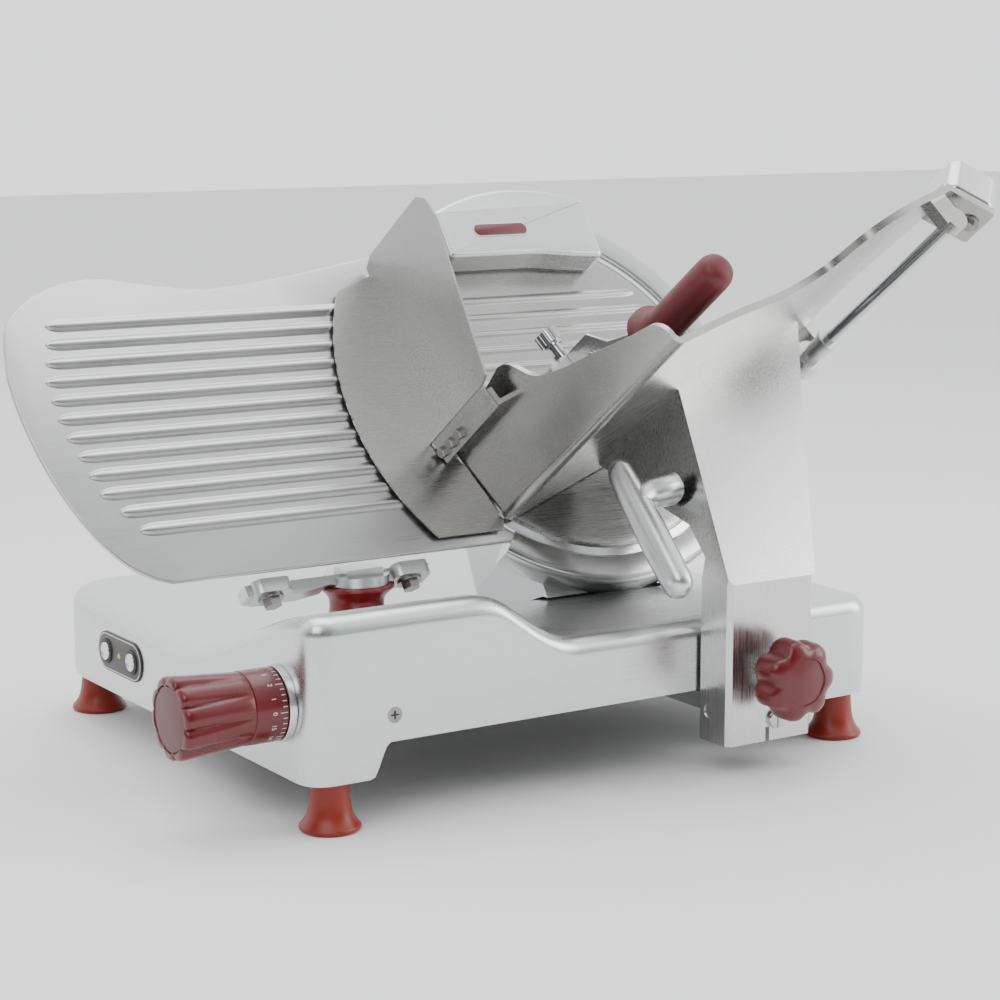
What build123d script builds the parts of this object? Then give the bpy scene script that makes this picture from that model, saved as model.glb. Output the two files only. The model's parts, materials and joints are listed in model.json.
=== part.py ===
from build123d import *
from math import cos, radians, sin, sqrt
import os

# Gravity slicer for deli meat, in millimetres.
# +X is the carriage travel from the operator's end to the rear, +Y points from the carriage side
# to the receiving side, +Z is up.  The counter is z = 0.

# ---------------------------------------------------------------- driving dimensions: base
foot_x, foot_y = -236.0, -170.0          # near front foot
foot_pitch_x, foot_pitch_y = 498.0, 428.0
foot_height, foot_neck_r, foot_flange_r = 40.0, 14.0, 24.0
front_overhang, rear_overhang = 28.0, 24.0     # casting past the foot centres
near_overhang, far_overhang = 22.0, 29.0
wall = 7.0                                # casting wall
ridge_z, deck_z, far_deck_z = 168.0, 103.0, 116.0
ridge_width, deck_break = 30.0, 208.0     # from the near face: flat of the ridge, foot of the ramp
low_z = 125.0                             # near side, rear half
step_start, step_end = 150.0, 238.0       # from the front face: where the ridge falls away
arch_z = 67.0                             # underside of the near wall, where the carriage passes
arch_front, arch_rear = 55.0, 478.0       # from the front face
foot_bolt_r = 4.0

# ---------------------------------------------------------------- driving dimensions: blade unit
tilt = 36.0                               # blade plane, from the vertical
blade_x, blade_y, blade_z = 120.7, 38.4, 290.3
blade_r, blade_gap, ring_width = 165.0, 1.4, 24.0
edge_depth = 3.0                          # cutting edge behind the product plane
hub_r, shaft_r = 62.0, 12.5
head_depth, head_front = 98.0, 24.0
pulley_drop = 150.0                       # motor shaft below the blade shaft, along the blade plane
pulley_r, motor_pulley_r, pulley_w, belt_t = 48.0, 16.0, 12.0, 3.0
motor_r, motor_length, motor_shaft_r = 44.0, 54.0, 7.0
bearing_r, bearing_w, housing_r = 24.0, 14.0, 32.0
tie_r = 4.0                               # rod that holds the blade's cover
blade_t, cover_t, pan_depth = 2.5, 2.4, 24.0
stone_x, stone_u, stone_r, spindle_r = 24.0, 172.0, 13.0, 3.5
sharpener_x0, sharpener_x1, sharpener_front = -88.0, 74.0, 30.0
running = 0.05                            # radial running clearance of shafts
gap = 0.4                                 # clearance between curved faces of separate pieces

# ---------------------------------------------------------------- driving dimensions: gauge plate
gauge_left, gauge_top, gauge_bottom = 509.0, 132.0, 141.0
gauge_thickness = 4.0
rib_pitch, rib_count, rib_width = 17.0, 12, 9.0
rib_top, rib_left, rib_taper = 93.0, -468.0, 0.16
gauge_bolt_xs = (-331.0, -202.0)
gauge_post_x, gauge_post_r = -246.0, 13.0     # post, in the blade plane's own x
gauge_travel = 12.0
boot_r = 32.0
gauge_foot_z = 152.0                      # underside of the gauge bracket's foot
guide_r, guide_z = 8.0, 82.0              # rod that the gauge's post slides on
guide_back, guide_front = 50.0, 33.0      # ends of that rod, behind and in front of the post

# ---------------------------------------------------------------- driving dimensions: index knob
knob_y, knob_z = -144.0, 97.0
knob_r, knob_length, dial_r, dial_length = 28.5, 78.0, 30.0, 10.0
index_shaft_r = 7.0

# ---------------------------------------------------------------- driving dimensions: switches
button_y, button_z, button_pitch, button_r = 145.0, 74.5, 51.0, 8.0
panel_w, panel_h, panel_t = 88.0, 34.0, 1.6
plate_y0 = 12.0                           # near edge of the bottom plate
inlet_y, inlet_z = 150.0, 74.0

# ---------------------------------------------------------------- driving dimensions: carriage
trough_x, trough_u = -110.6, -125.3       # trough corner in the blade plane
trough_turn = 20.0                        # trough turned in the blade plane
tray_width, tray_depth = 348.0, 290.0     # along the bottom, out from the blade
tray_t, wall_c_t, wall_c_high, wall_c_low = 6.0, 5.0, 96.0, 38.0
blade_clear = 4.0                         # carriage to product plane
arm_x, arm_w, arm_y = 97.0, 88.0, -232.0  # arm: left flank, width, outer face
arm_t, arm_wall = 37.0, 8.0
arm_bottom, arm_break = 27.0, 161.0
rail_y, rail_z, rail_r = -95.0, 80.0, 11.0
pivot_y, pivot_z, pivot_r = -206.0, 52.0, 6.0
clamp_x, clamp_z, clamp_r = 138.0, 86.0, 6.0
tongue_w = 60.0
rod_s, rod_h, rod_r = 334.0, -22.0, 6.0   # pusher rod, in the trough's own axes
sleeve_r = 9.5
rod_n0, rod_n1 = 36.0, 300.0
sleeve_n, sleeve_l = 48.0, 62.0
grip_n, grip_l = 196.0, 108.0
tab_turn, tab_l = 55.0, 48.0
lip_s = -17.4                             # guard's lip, outside the tray's flange

# ---------------------------------------------------------------- driving dimensions: guard, pusher
fold_x, guard_t, guard_n = -157.0, 2.0, 4.0        # in the blade plane's own axes
shield_r, fence_w, fence_low, fence_high = 224.0, 122.0, -46.0, 136.0
link_n, bar_s = 66.0, 92.0
grip_s, grip_h, grip_r = 82.0, 38.0, 15.5

# ---------------------------------------------------------------- frames worked out from them
across = Vector(0, -cos(radians(tilt)), sin(radians(tilt)))      # out of the product face
blade_centre = Vector(blade_x, blade_y, blade_z)
blade_plane = Plane(origin=blade_centre, x_dir=(1, 0, 0), z_dir=across)
trough_origin = blade_plane.from_local_coords(Vector(trough_x, trough_u, 0))
trough_dir = blade_plane.from_local_coords(
    Vector(trough_x + cos(radians(trough_turn)), trough_u + sin(radians(trough_turn)), 0)
) - trough_origin
trough_plane = Plane(origin=trough_origin, x_dir=trough_dir, z_dir=across)
blade_axis = Axis(blade_centre, across)

base_x0 = foot_x - front_overhang
base_x1 = foot_x + foot_pitch_x + rear_overhang
base_y0 = foot_y - near_overhang
base_y1 = foot_y + foot_pitch_y + far_overhang
base_z0 = foot_height
feet = [(foot_x + i * foot_pitch_x, foot_y + j * foot_pitch_y) for i in (0, 1) for j in (0, 1)]
ramp_slope = (ridge_z - deck_z) / (deck_break - ridge_width)

ring_in = blade_r + blade_gap
ring_out = ring_in + ring_width
ring_from, ring_to = -128.0, 130.0        # angles of the ring round the blade


def finish(part, name):
    """Labels a finished sub-part and writes it."""
    part.label = name
    export_step(part, f"parts/{name}.step")


def blade_frame(x, u, n):
    """A point given along X, up the blade plane and out of it."""
    return blade_plane.from_local_coords(Vector(x, u, n))


def trough_point(s, h, n):
    """A point given along the tray bottom, up its wall and out from the blade."""
    return trough_plane.from_local_coords(Vector(s, h, n))


def radial_plane(angle):
    """Half plane through the blade axis: local x outward, local y out of the product face."""
    out = blade_frame(cos(radians(angle)), sin(radians(angle)), 0) - blade_centre
    return Plane(origin=blade_centre, x_dir=out, z_dir=out.cross(across))


def deck_height(y):
    """Top of the casting's section at a place across the machine, in the front half."""
    over = y - base_y0
    if over < ridge_width:
        return ridge_z
    if over < deck_break:
        return ridge_z - ramp_slope * (over - ridge_width)
    return deck_z + (far_deck_z - deck_z) * (over - deck_break) / (base_y1 - base_y0 - deck_break)


def casting_section(inset):
    """Corner points of the casting's cross-section, taken in by a wall thickness."""
    y0, y1 = base_y0 + inset, base_y1 - inset
    return [
        (y0, base_z0), (y0, ridge_z - inset), (base_y0 + ridge_width, ridge_z - inset),
        (base_y0 + deck_break, deck_z - inset), (y1, far_deck_z - inset), (y1, base_z0),
    ]


def step_outline(drop):
    """The part of the near side that falls away behind the ridge, in X and Z."""
    top = ridge_z + 60
    return [
        (base_x0 + step_start - drop, top), (base_x0 + step_start - drop, ridge_z - drop),
        (base_x0 + step_end - drop, low_z - drop), (base_x1 + 10, low_z - drop), (base_x1 + 10, top),
    ]


def head_prism(inset, front, back):
    """The blade head's outline, a round hub that widens downwards, as a prism behind the blade."""
    with BuildPart() as prism:
        with BuildSketch(blade_plane.offset(-back)):
            with BuildLine():
                Polyline([(-hub_r, 0), (-78, -130), (-78, -270), (78, -270), (78, -130), (hub_r, 0)], close=True)
            make_face()
            Circle(hub_r)
            if inset:
                offset(amount=-inset, kind=Kind.INTERSECTION)
        extrude(amount=back - front)
    return prism.part


def ring_sector(profile, start, end):
    """A closed profile of radius and height carried round the blade axis."""
    with BuildPart() as sector:
        with BuildSketch(radial_plane(start)):
            with BuildLine():
                Polyline(profile, close=True)
            make_face()
        revolve(axis=blade_axis, revolution_arc=end - start)
    return sector.part


def belt_loop(grow):
    """The belt's outline round its two pulleys."""
    with BuildSketch() as loop:
        Circle(pulley_r + grow)
        with Locations((0, -pulley_drop)):
            Circle(motor_pulley_r + grow)
        make_hull()
    return loop.sketch


def hex_bolt(plane, head_r, head_t, shank_r, shank_l, washer_r=0.0, washer_t=0.0):
    """Hexagon head and shank with an optional washer, head on +z of the plane, face at 0."""
    with BuildPart() as bolt:
        with BuildSketch(plane.offset(washer_t)):
            RegularPolygon(head_r, 6)
        extrude(amount=head_t)
        chamfer(bolt.faces().sort_by(Axis(plane.origin, plane.z_dir))[-1].edges(), head_t * 0.12)
        if washer_t:
            with BuildSketch(plane):
                Circle(washer_r)
            extrude(amount=washer_t)
        with BuildSketch(plane):
            Circle(shank_r)
        extrude(amount=-shank_l)
    return bolt.part


os.makedirs("parts", exist_ok=True)

# ================================================================ base
post_base = blade_frame(gauge_post_x, -gauge_bottom, -24)
gauge_block = Vector(post_base.X, post_base.Y + 6, guide_z)


def casting_block(inset, corner_far, corner_near):
    """The casting's outer form, or its hollow when it is taken in by a wall thickness."""
    y_low, y_high = base_y0 + inset - 1, base_y0 + inset + 1
    with BuildPart() as block:
        with BuildSketch(Plane.YZ.offset(base_x0 + inset)):
            with BuildLine():
                Polyline(casting_section(inset), close=True)
            make_face()
        extrude(amount=base_x1 - base_x0 - 2 * inset)
        with BuildSketch(Plane.XZ.offset(10 - base_y0)):
            with BuildLine():
                Polyline(step_outline(inset), close=True)
            make_face()
        extrude(amount=-(deck_break + 10), mode=Mode.SUBTRACT)
        upright = block.edges().filter_by(Axis.Z)
        fillet(upright.filter_by_position(Axis.Y, base_y1 - inset - 1, base_y1 - inset + 1), corner_far)
        upright = block.edges().filter_by(Axis.Z)
        fillet(upright.filter_by_position(Axis.Y, y_low, y_high), corner_near)
    return block.part


with BuildPart() as base_casting:
    add(casting_block(0, 60, 24))
    rim = [e for e in base_casting.edges()
           if e.center().Z > deck_z - 12 and abs(e.tangent_at(0.5).Z) < 0.8
           and (abs(e.center().X - base_x0) < 20 or abs(e.center().Y - base_y0) < 20
                or abs(e.center().Y - base_y1) < 20 or abs(e.center().X - base_x1) < 20)]
    fillet(rim, 13)
    add(casting_block(wall, 60 - wall, 24 - wall), mode=Mode.SUBTRACT)
    # passage for the carriage under the near wall
    with BuildSketch(Plane.XZ.offset(20 - base_y0)):
        with Locations(((base_x0 + (arch_front + arch_rear) / 2), (base_z0 + arch_z) / 2 - 10)):
            RectangleRounded(arch_rear - arch_front, arch_z - base_z0 + 20, 16)
    extrude(amount=-(20 + wall + 1), mode=Mode.SUBTRACT)
    # bosses for the feet
    with BuildSketch(Plane.XY.offset(base_z0)):
        with Locations(*feet):
            Circle(foot_neck_r)
    extrude(amount=22)
    with BuildSketch(Plane.XY.offset(base_z0 - 1)):
        with Locations(*feet):
            Circle(foot_bolt_r + running)
    extrude(amount=24, mode=Mode.SUBTRACT)
    # bosses that hold the ends of the carriage rail
    for x in (base_x0 + wall - 1, base_x1 - wall - 24):
        with BuildSketch(Plane.YZ.offset(x)):
            with Locations((rail_y, rail_z)):
                Circle(rail_r + 8)
        extrude(amount=25)
    with BuildSketch(Plane.YZ.offset(base_x0 + wall + 4)):
        with Locations((rail_y, rail_z)):
            Circle(rail_r + 0.02)
    extrude(amount=base_x1 - base_x0 - 2 * wall - 8, mode=Mode.SUBTRACT)
    # openings: gauge post, knob shaft, belt and motor, buttons
    with BuildSketch(Plane.XY.offset(80)):
        with Locations((post_base.X, post_base.Y + 6)):
            SlotOverall(boot_r * 1.7, boot_r * 1.25, rotation=90)
    extrude(amount=80, mode=Mode.SUBTRACT)
    with BuildSketch(Plane.YZ.offset(base_x0 - 5)):
        with Locations((knob_y, knob_z)):
            Circle(9)
    extrude(amount=wall + 8, mode=Mode.SUBTRACT)
    add(head_prism(wall, head_front + wall, head_front + head_depth), mode=Mode.SUBTRACT)
    # relief under the ring round the blade
    with BuildSketch(blade_plane.offset(-pan_depth - gap)):
        Circle(ring_out + gap)
    extrude(amount=pan_depth, mode=Mode.SUBTRACT)
    # seat for the switch panel, and holes for its buttons
    with BuildSketch(Plane.YZ.offset(base_x0 - 5)):
        with Locations((button_y - button_pitch / 2, button_z), (button_y + button_pitch / 2, button_z)):
            Circle(button_r + 1.5)
    extrude(amount=wall + 8, mode=Mode.SUBTRACT)
finish(base_casting.part, "base_casting")

with BuildPart() as base_plate:
    with BuildSketch(Plane.XY.offset(base_z0 - 2)) as plate_outline:
        with Locations(((base_x0 + base_x1) / 2, (plate_y0 + base_y1) / 2)):
            Rectangle(base_x1 - base_x0 - 2, base_y1 - plate_y0 - 1)
        fillet(plate_outline.vertices().group_by(Axis.Y)[-1], 59)
    extrude(amount=2)
    with BuildSketch(Plane.XY.offset(base_z0 - 3)):
        with Locations((blade_x, blade_y + 110)):
            with GridLocations(14, 0, 7, 1):
                SlotOverall(60, 6, rotation=90)
        with Locations(*feet):
            Circle(foot_neck_r + 2)
    extrude(amount=4, mode=Mode.SUBTRACT)
finish(base_plate.part, "base_plate")

with BuildPart() as one_foot:
    with BuildSketch(Plane.XZ):
        with BuildLine():
            Line((0, 0), (foot_flange_r - 2, 0))
            Line((foot_flange_r - 2, 0), (foot_flange_r, 3))
            Spline((foot_flange_r, 3), (foot_neck_r + 3, 13), (foot_neck_r, foot_height),
                   tangents=[(-1, 0.25), (0, 1)], tangent_scalars=[0.8, 1])
            Line((foot_neck_r, foot_height), (0, foot_height))
            Line((0, foot_height), (0, 0))
        make_face()
    revolve(axis=Axis.Z)
    with BuildSketch(Plane.XY.offset(16)):
        Circle(foot_bolt_r)
    extrude(amount=foot_height, mode=Mode.SUBTRACT)

with BuildPart() as rubber_feet:
    with Locations(*feet):
        add(one_foot.part)
finish(rubber_feet.part, "rubber_feet")

with BuildPart() as foot_bolts:
    for x, y in feet:
        with BuildSketch(Plane.XY.offset(16)):
            with Locations((x, y)):
                Circle(foot_bolt_r)
        extrude(amount=foot_height)
finish(foot_bolts.part, "foot_bolts")

# ================================================================ controls
panel_plane = Plane(origin=(base_x0, button_y, button_z), x_dir=(0, -1, 0), z_dir=(-1, 0, 0))
with BuildPart() as switch_panel:
    with BuildSketch(panel_plane):
        SlotOverall(panel_w, panel_h)
    extrude(amount=panel_t)
    with BuildSketch(panel_plane.offset(-1)):
        with Locations((-button_pitch / 2, 0), (button_pitch / 2, 0)):
            Circle(button_r + gap)
        Circle(2.5 + running)
    extrude(amount=panel_t + 2, mode=Mode.SUBTRACT)
finish(switch_panel.part, "switch_panel")

for button_name, side in (("start_button", -1), ("stop_button", 1)):
    with BuildPart() as button:
        with BuildSketch(panel_plane.offset(-12)):
            with Locations((side * button_pitch / 2, 0)):
                Circle(button_r)
        extrude(amount=12 + panel_t + 2.5)
        chamfer(button.edges().sort_by(Axis.X)[0], 0.8)
    finish(button.part, button_name)

with BuildPart() as pilot_lamp:
    with BuildSketch(panel_plane):
        Circle(2.5)
    extrude(amount=panel_t + 0.8)
finish(pilot_lamp.part, "pilot_lamp")

with BuildPart() as power_inlet:
    inlet_plane = Plane(origin=(base_x1, inlet_y, inlet_z), x_dir=(0, 1, 0), z_dir=(1, 0, 0))
    with BuildSketch(inlet_plane):
        RegularPolygon(14, 6)
    extrude(amount=8)
    with BuildSketch(inlet_plane.offset(8)):
        Circle(11)
    extrude(amount=8, taper=12)
    with BuildSketch(inlet_plane.offset(-1)):
        Circle(4)
    extrude(amount=20, mode=Mode.SUBTRACT)
finish(power_inlet.part, "power_inlet")

# ================================================================ index knob
knob_plane = Plane(origin=(base_x0, knob_y, knob_z), x_dir=(0, -1, 0), z_dir=(-1, 0, 0))
with BuildPart() as dial_ring:
    with BuildSketch(knob_plane):
        Circle(dial_r)
        Circle(9, mode=Mode.SUBTRACT)
    extrude(amount=dial_length)
    chamfer(dial_ring.edges().filter_by(GeomType.CIRCLE).sort_by(Axis.X)[0], 1)
finish(dial_ring.part, "dial_ring")

with BuildPart() as index_knob:
    with BuildSketch(knob_plane.offset(dial_length + gap)):
        Circle(knob_r)
    extrude(amount=22)
    with BuildSketch(knob_plane.offset(dial_length + gap + 22)):
        Circle(knob_r - 1)
        with PolarLocations(knob_r + 4.5, 10):
            Circle(7, mode=Mode.SUBTRACT)
    extrude(amount=knob_length - 22)
    with BuildSketch(knob_plane.offset(dial_length + gap + knob_length)):
        Circle(knob_r - 5)
    extrude(amount=2)
    with BuildSketch(knob_plane.offset(dial_length)):
        Circle(index_shaft_r)
    extrude(amount=40, mode=Mode.SUBTRACT)
finish(index_knob.part, "index_knob")

with BuildPart() as index_shaft:
    with BuildSketch(knob_plane.offset(-62)):
        Circle(index_shaft_r)
    extrude(amount=62 + dial_length + gap + 39)
    # scroll that moves the gauge
    with BuildSketch(knob_plane.offset(-50)):
        Circle(26)
    extrude(amount=10)
    for turn in range(3):
        with BuildSketch(knob_plane.offset(-52)):
            Circle(23 - 6 * turn)
            Circle(20.5 - 6 * turn, mode=Mode.SUBTRACT)
        extrude(amount=2.5)
finish(index_shaft.part, "index_shaft")

# ================================================================ gauge plate
gauge_edge_r = blade_r + 3.5
with BuildPart() as gauge_plate:
    with BuildSketch(blade_plane.offset(-gauge_thickness)):
        with BuildLine():
            Spline((-gauge_left, 50), (-gauge_left + 28, 114), (-411, gauge_top + 4),
                   (-313, gauge_top - 11), (-239, gauge_top - 3), (-169, gauge_top + 9),
                   (-112, gauge_top + 16), tangents=[(0.05, 1), (1, 0.12)])
            Line((-112, gauge_top + 16), (-60, gauge_top + 22))
            Line((-60, gauge_top + 22), (-60, -gauge_bottom))
            Line((-60, -gauge_bottom), (-422, -gauge_bottom))
            Spline((-422, -gauge_bottom), (-458, -120), (-488, -68), (-504, -10), (-gauge_left, 50),
                   tangents=[(-1, 0.1), (-0.05, 1)])
        make_face()
        Circle(gauge_edge_r, mode=Mode.SUBTRACT)
        with Locations((-60, 0)):
            Rectangle(40, 400, mode=Mode.SUBTRACT)
    extrude(amount=gauge_thickness)
    # clear of the ring round the blade
    add(ring_sector([(ring_in - 3, 3), (ring_out + 1, 3), (ring_out + 1, -12), (ring_in - 3, -12)],
                    ring_from - 1, ring_to + 1), mode=Mode.SUBTRACT)
    # stiffening rim turned back along the bottom edge
    with BuildSketch(blade_plane.offset(-16)):
        with Locations((-270, -gauge_bottom + 2.5)):
            Rectangle(300, 5)
    extrude(amount=14)
    # ribs
    for i in range(rib_count):
        u = rib_top - i * rib_pitch
        left = rib_left + rib_taper * max(40 - u, 0)
        right = -sqrt(max(gauge_edge_r**2 - u**2, 0)) - 7
        with BuildSketch(blade_plane.offset(-1)):
            with Locations(((left + right) / 2, u)):
                SlotOverall(right - left, rib_width)
        extrude(amount=1.9)
finish(gauge_plate.part, "gauge_plate")

with BuildPart() as gauge_bracket:
    # web under the rim, with an eye at each end and a foot over the post
    web_plane = blade_plane.offset(-40)
    with BuildSketch(web_plane):
        with BuildLine():
            Polyline([(-352, -gauge_bottom), (-352, -gauge_bottom - 10), (-344, -gauge_bottom - 12),
                      (-304, -gauge_bottom - 12), (-276, -gauge_bottom - 8), (-262, -gauge_bottom - 12),
                      (-188, -gauge_bottom - 12), (-180, -gauge_bottom)], close=True)
        make_face()
    extrude(amount=16)
    with BuildSketch(Plane(origin=blade_frame(0, -gauge_bottom, 0), x_dir=(1, 0, 0),
                           z_dir=blade_frame(0, -1, 0) - blade_centre)):
        with Locations(*[(x, -27) for x in gauge_bolt_xs]):
            RectangleRounded(34, 28, 8)
    extrude(amount=12)
    with BuildSketch(Plane(origin=blade_frame(0, -gauge_bottom - 13, 0), x_dir=(1, 0, 0),
                           z_dir=blade_frame(0, -1, 0) - blade_centre)):
        with Locations(*[(x, -27) for x in gauge_bolt_xs]):
            Circle(4)
    extrude(amount=20, both=True, mode=Mode.SUBTRACT)
    with BuildSketch(Plane.XY.offset(gauge_foot_z)):
        with Locations((post_base.X, post_base.Y + 6)):
            Circle(boot_r - 5)
    extrude(amount=8)
    with BuildSketch(Plane.XY.offset(gauge_foot_z)):
        with Locations((post_base.X, post_base.Y + 2)):
            Rectangle(34, 22)
    extrude(amount=14)
    # clear of the boot round the post
    with BuildSketch(Plane.XY.offset(gauge_foot_z - 60)):
        with Locations((post_base.X, post_base.Y + 6)):
            Circle(boot_r + 2)
    extrude(amount=60, mode=Mode.SUBTRACT)
finish(gauge_bracket.part, "gauge_bracket")

guide_plane = Plane(origin=gauge_block, x_dir=(1, 0, 0), z_dir=across)
with BuildPart() as gauge_post:
    with BuildSketch(Plane.XY.offset(gauge_block.Z + 10)):
        with Locations((gauge_block.X, gauge_block.Y)):
            Circle(gauge_post_r)
    extrude(amount=gauge_foot_z - gauge_block.Z - 10)
    # block that slides on the guide rod
    with BuildSketch(Plane.XY.offset(gauge_block.Z - 14)):
        with Locations((gauge_block.X, gauge_block.Y)):
            RectangleRounded(44, 40, 5)
    extrude(amount=24)
    with BuildSketch(guide_plane.offset(-60)):
        Circle(guide_r + running)
    extrude(amount=120, mode=Mode.SUBTRACT)
finish(gauge_post.part, "gauge_post")

with BuildPart() as gauge_guide:
    # rod between two cheeks on a plate under the deck
    with BuildSketch(guide_plane.offset(-guide_back)):
        Circle(guide_r)
    extrude(amount=guide_back + guide_front)
    for n in (-guide_back - 4, guide_front - 4):
        with BuildSketch(guide_plane.offset(n)):
            with Locations((12, 0)):
                Rectangle(44, 16)
        extrude(amount=8)
    with BuildSketch(Plane.YZ.offset(gauge_block.X + 31)):
        with Locations((gauge_block.Y + 13, gauge_block.Z + 10)):
            Rectangle(72, 60)
    extrude(amount=6)
    add(casting_block(wall, 60 - wall, 24 - wall), mode=Mode.INTERSECT)
finish(gauge_guide.part, "gauge_guide")

boot_bottom = deck_height(post_base.Y + 6) - 1
with BuildPart() as gauge_boot:
    with BuildSketch(Plane.XZ.offset(-gauge_block.Y)):
        with BuildLine():
            x = gauge_block.X
            Polyline((x + gauge_post_r + gap, boot_bottom + 12), (x + boot_r - 2, boot_bottom + 12),
                     (x + boot_r, boot_bottom + 15), (x + boot_r - 5, gauge_foot_z - 10),
                     (x + boot_r - 1, gauge_foot_z - 5), (x + boot_r - 3, gauge_foot_z - gap),
                     (x + gauge_post_r + gap, gauge_foot_z - gap), close=True)
        make_face()
    revolve(axis=Axis(gauge_block, (0, 0, 1)))
finish(gauge_boot.part, "gauge_boot")

gauge_bolt_plane = Plane(origin=blade_frame(0, -gauge_bottom - 12, 0), x_dir=(1, 0, 0),
                         z_dir=blade_frame(0, -1, 0) - blade_centre)
with BuildPart() as gauge_bolts:
    for x in gauge_bolt_xs:
        seat = Plane(origin=gauge_bolt_plane.from_local_coords(Vector(x, -27, 0)), x_dir=(1, 0, 0),
                     z_dir=gauge_bolt_plane.z_dir)
        add(hex_bolt(seat, 8, 6, 4, 11, 10.5, 2))
finish(gauge_bolts.part, "gauge_bolts")

# ================================================================ blade head and drive
head_back = head_front + head_depth
with BuildPart() as blade_head:
    add(head_prism(0, head_front, head_back))
    add(head_prism(wall, head_front + wall, head_back), mode=Mode.SUBTRACT)
    with BuildSketch(blade_plane.offset(-head_front - 40)):
        Circle(housing_r)
    extrude(amount=80, mode=Mode.SUBTRACT)
    add(casting_block(0, 60, 24), mode=Mode.SUBTRACT)
    with BuildSketch(Plane.XY.offset(-60)):
        Rectangle(900, 900)
    extrude(amount=60 + deck_z - 20, mode=Mode.SUBTRACT)
finish(blade_head.part, "blade_head")

with BuildPart() as head_cover:
    add(head_prism(0, head_back, head_back + 3))
    with BuildSketch(blade_plane.offset(-head_back - 10)):
        Circle(9)
    extrude(amount=20, mode=Mode.SUBTRACT)
    add(casting_block(0, 60, 24), mode=Mode.SUBTRACT)
    with BuildSketch(Plane.XY.offset(-60)):
        Rectangle(900, 900)
    extrude(amount=60 + deck_z - 20, mode=Mode.SUBTRACT)
finish(head_cover.part, "head_cover")

bearing_ns = (-38.0, -68.0)
with BuildPart() as bearing_housing:
    with BuildSketch(blade_plane.offset(-78)):
        Circle(housing_r)
        Circle(bearing_r, mode=Mode.SUBTRACT)
    extrude(amount=78 - pan_depth - 4)
    with BuildSketch(blade_plane.offset(-head_front - wall - 8)):
        Circle(housing_r + 14)
        Circle(housing_r - 1, mode=Mode.SUBTRACT)
        with PolarLocations(housing_r + 7, 4, start_angle=45):
            Circle(2.6, mode=Mode.SUBTRACT)
    extrude(amount=8)
finish(bearing_housing.part, "bearing_housing")

with BuildPart() as blade_bearings:
    for n in bearing_ns:
        with BuildSketch(blade_plane.offset(n - bearing_w / 2)):
            Circle(bearing_r)
            Circle(shaft_r + running, mode=Mode.SUBTRACT)
        extrude(amount=bearing_w)
        for side in (n - bearing_w / 2 - 1, n + bearing_w / 2 - 2):
            with BuildSketch(blade_plane.offset(side)):
                Circle(bearing_r - 4)
                Circle(shaft_r + 3, mode=Mode.SUBTRACT)
            extrude(amount=3, mode=Mode.SUBTRACT)
finish(blade_bearings.part, "blade_bearings")

with BuildPart() as blade_shaft:
    with BuildSketch(blade_plane.offset(-108)):
        Circle(shaft_r)
    extrude(amount=108 - edge_depth - blade_t - 4.5)
    with BuildSketch(blade_plane.offset(-17)):
        Circle(36)
    extrude(amount=17 - edge_depth - blade_t - 4.5)
    with BuildSketch(blade_plane.offset(-120)):
        Circle(tie_r + 0.6)
    extrude(amount=130, mode=Mode.SUBTRACT)
    with BuildSketch(blade_plane.offset(-14)):
        with PolarLocations(26, 3, start_angle=90):
            Circle(3)
    extrude(amount=20, mode=Mode.SUBTRACT)
finish(blade_shaft.part, "blade_shaft")

blade_back = edge_depth + blade_t + 4.5
with BuildPart() as blade:
    with BuildSketch(radial_plane(0)):
        with BuildLine():
            Polyline((shaft_r + 2, -blade_back), (shaft_r + 2, -blade_back + blade_t),
                     (blade_r - 28, -blade_back + blade_t), (blade_r - 6, -edge_depth - 0.9),
                     (blade_r, -edge_depth), (blade_r, -edge_depth - 0.3), (blade_r - 7, -edge_depth - 3.2),
                     (blade_r - 26, -blade_back), close=True)
        make_face()
    revolve(axis=blade_axis)
    with BuildSketch(blade_plane.offset(-14)):
        with PolarLocations(26, 3, start_angle=90):
            Circle(3)
    extrude(amount=20, mode=Mode.SUBTRACT)
finish(blade.part, "blade")

with BuildPart() as blade_screws:
    for i in range(3):
        angle = radians(90 + 120 * i)
        seat = Plane(origin=blade_frame(26 * cos(angle), 26 * sin(angle), -blade_back + blade_t),
                     x_dir=(1, 0, 0), z_dir=across)
        with BuildSketch(seat):
            Circle(5)
        extrude(amount=2)
        with BuildSketch(seat):
            Circle(3)
        extrude(amount=-6)
        with BuildSketch(seat.offset(1)):
            Rectangle(9, 1.2)
        extrude(amount=2, mode=Mode.SUBTRACT)
finish(blade_screws.part, "blade_screws")

with BuildPart() as blade_pulley:
    with BuildSketch(blade_plane.offset(-104)):
        Circle(pulley_r)
        Circle(shaft_r, mode=Mode.SUBTRACT)
        with PolarLocations(30, 5):
            Circle(8, mode=Mode.SUBTRACT)
    extrude(amount=pulley_w)
    for i in range(4):
        add(ring_sector([(pulley_r + 1, -94.4 - 2.6 * i), (pulley_r - 1.2, -93.4 - 2.6 * i - 1.2),
                         (pulley_r + 1, -93.4 - 2.6 * i - 1.4)], 0, 360), mode=Mode.SUBTRACT)
finish(blade_pulley.part, "blade_pulley")

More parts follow.
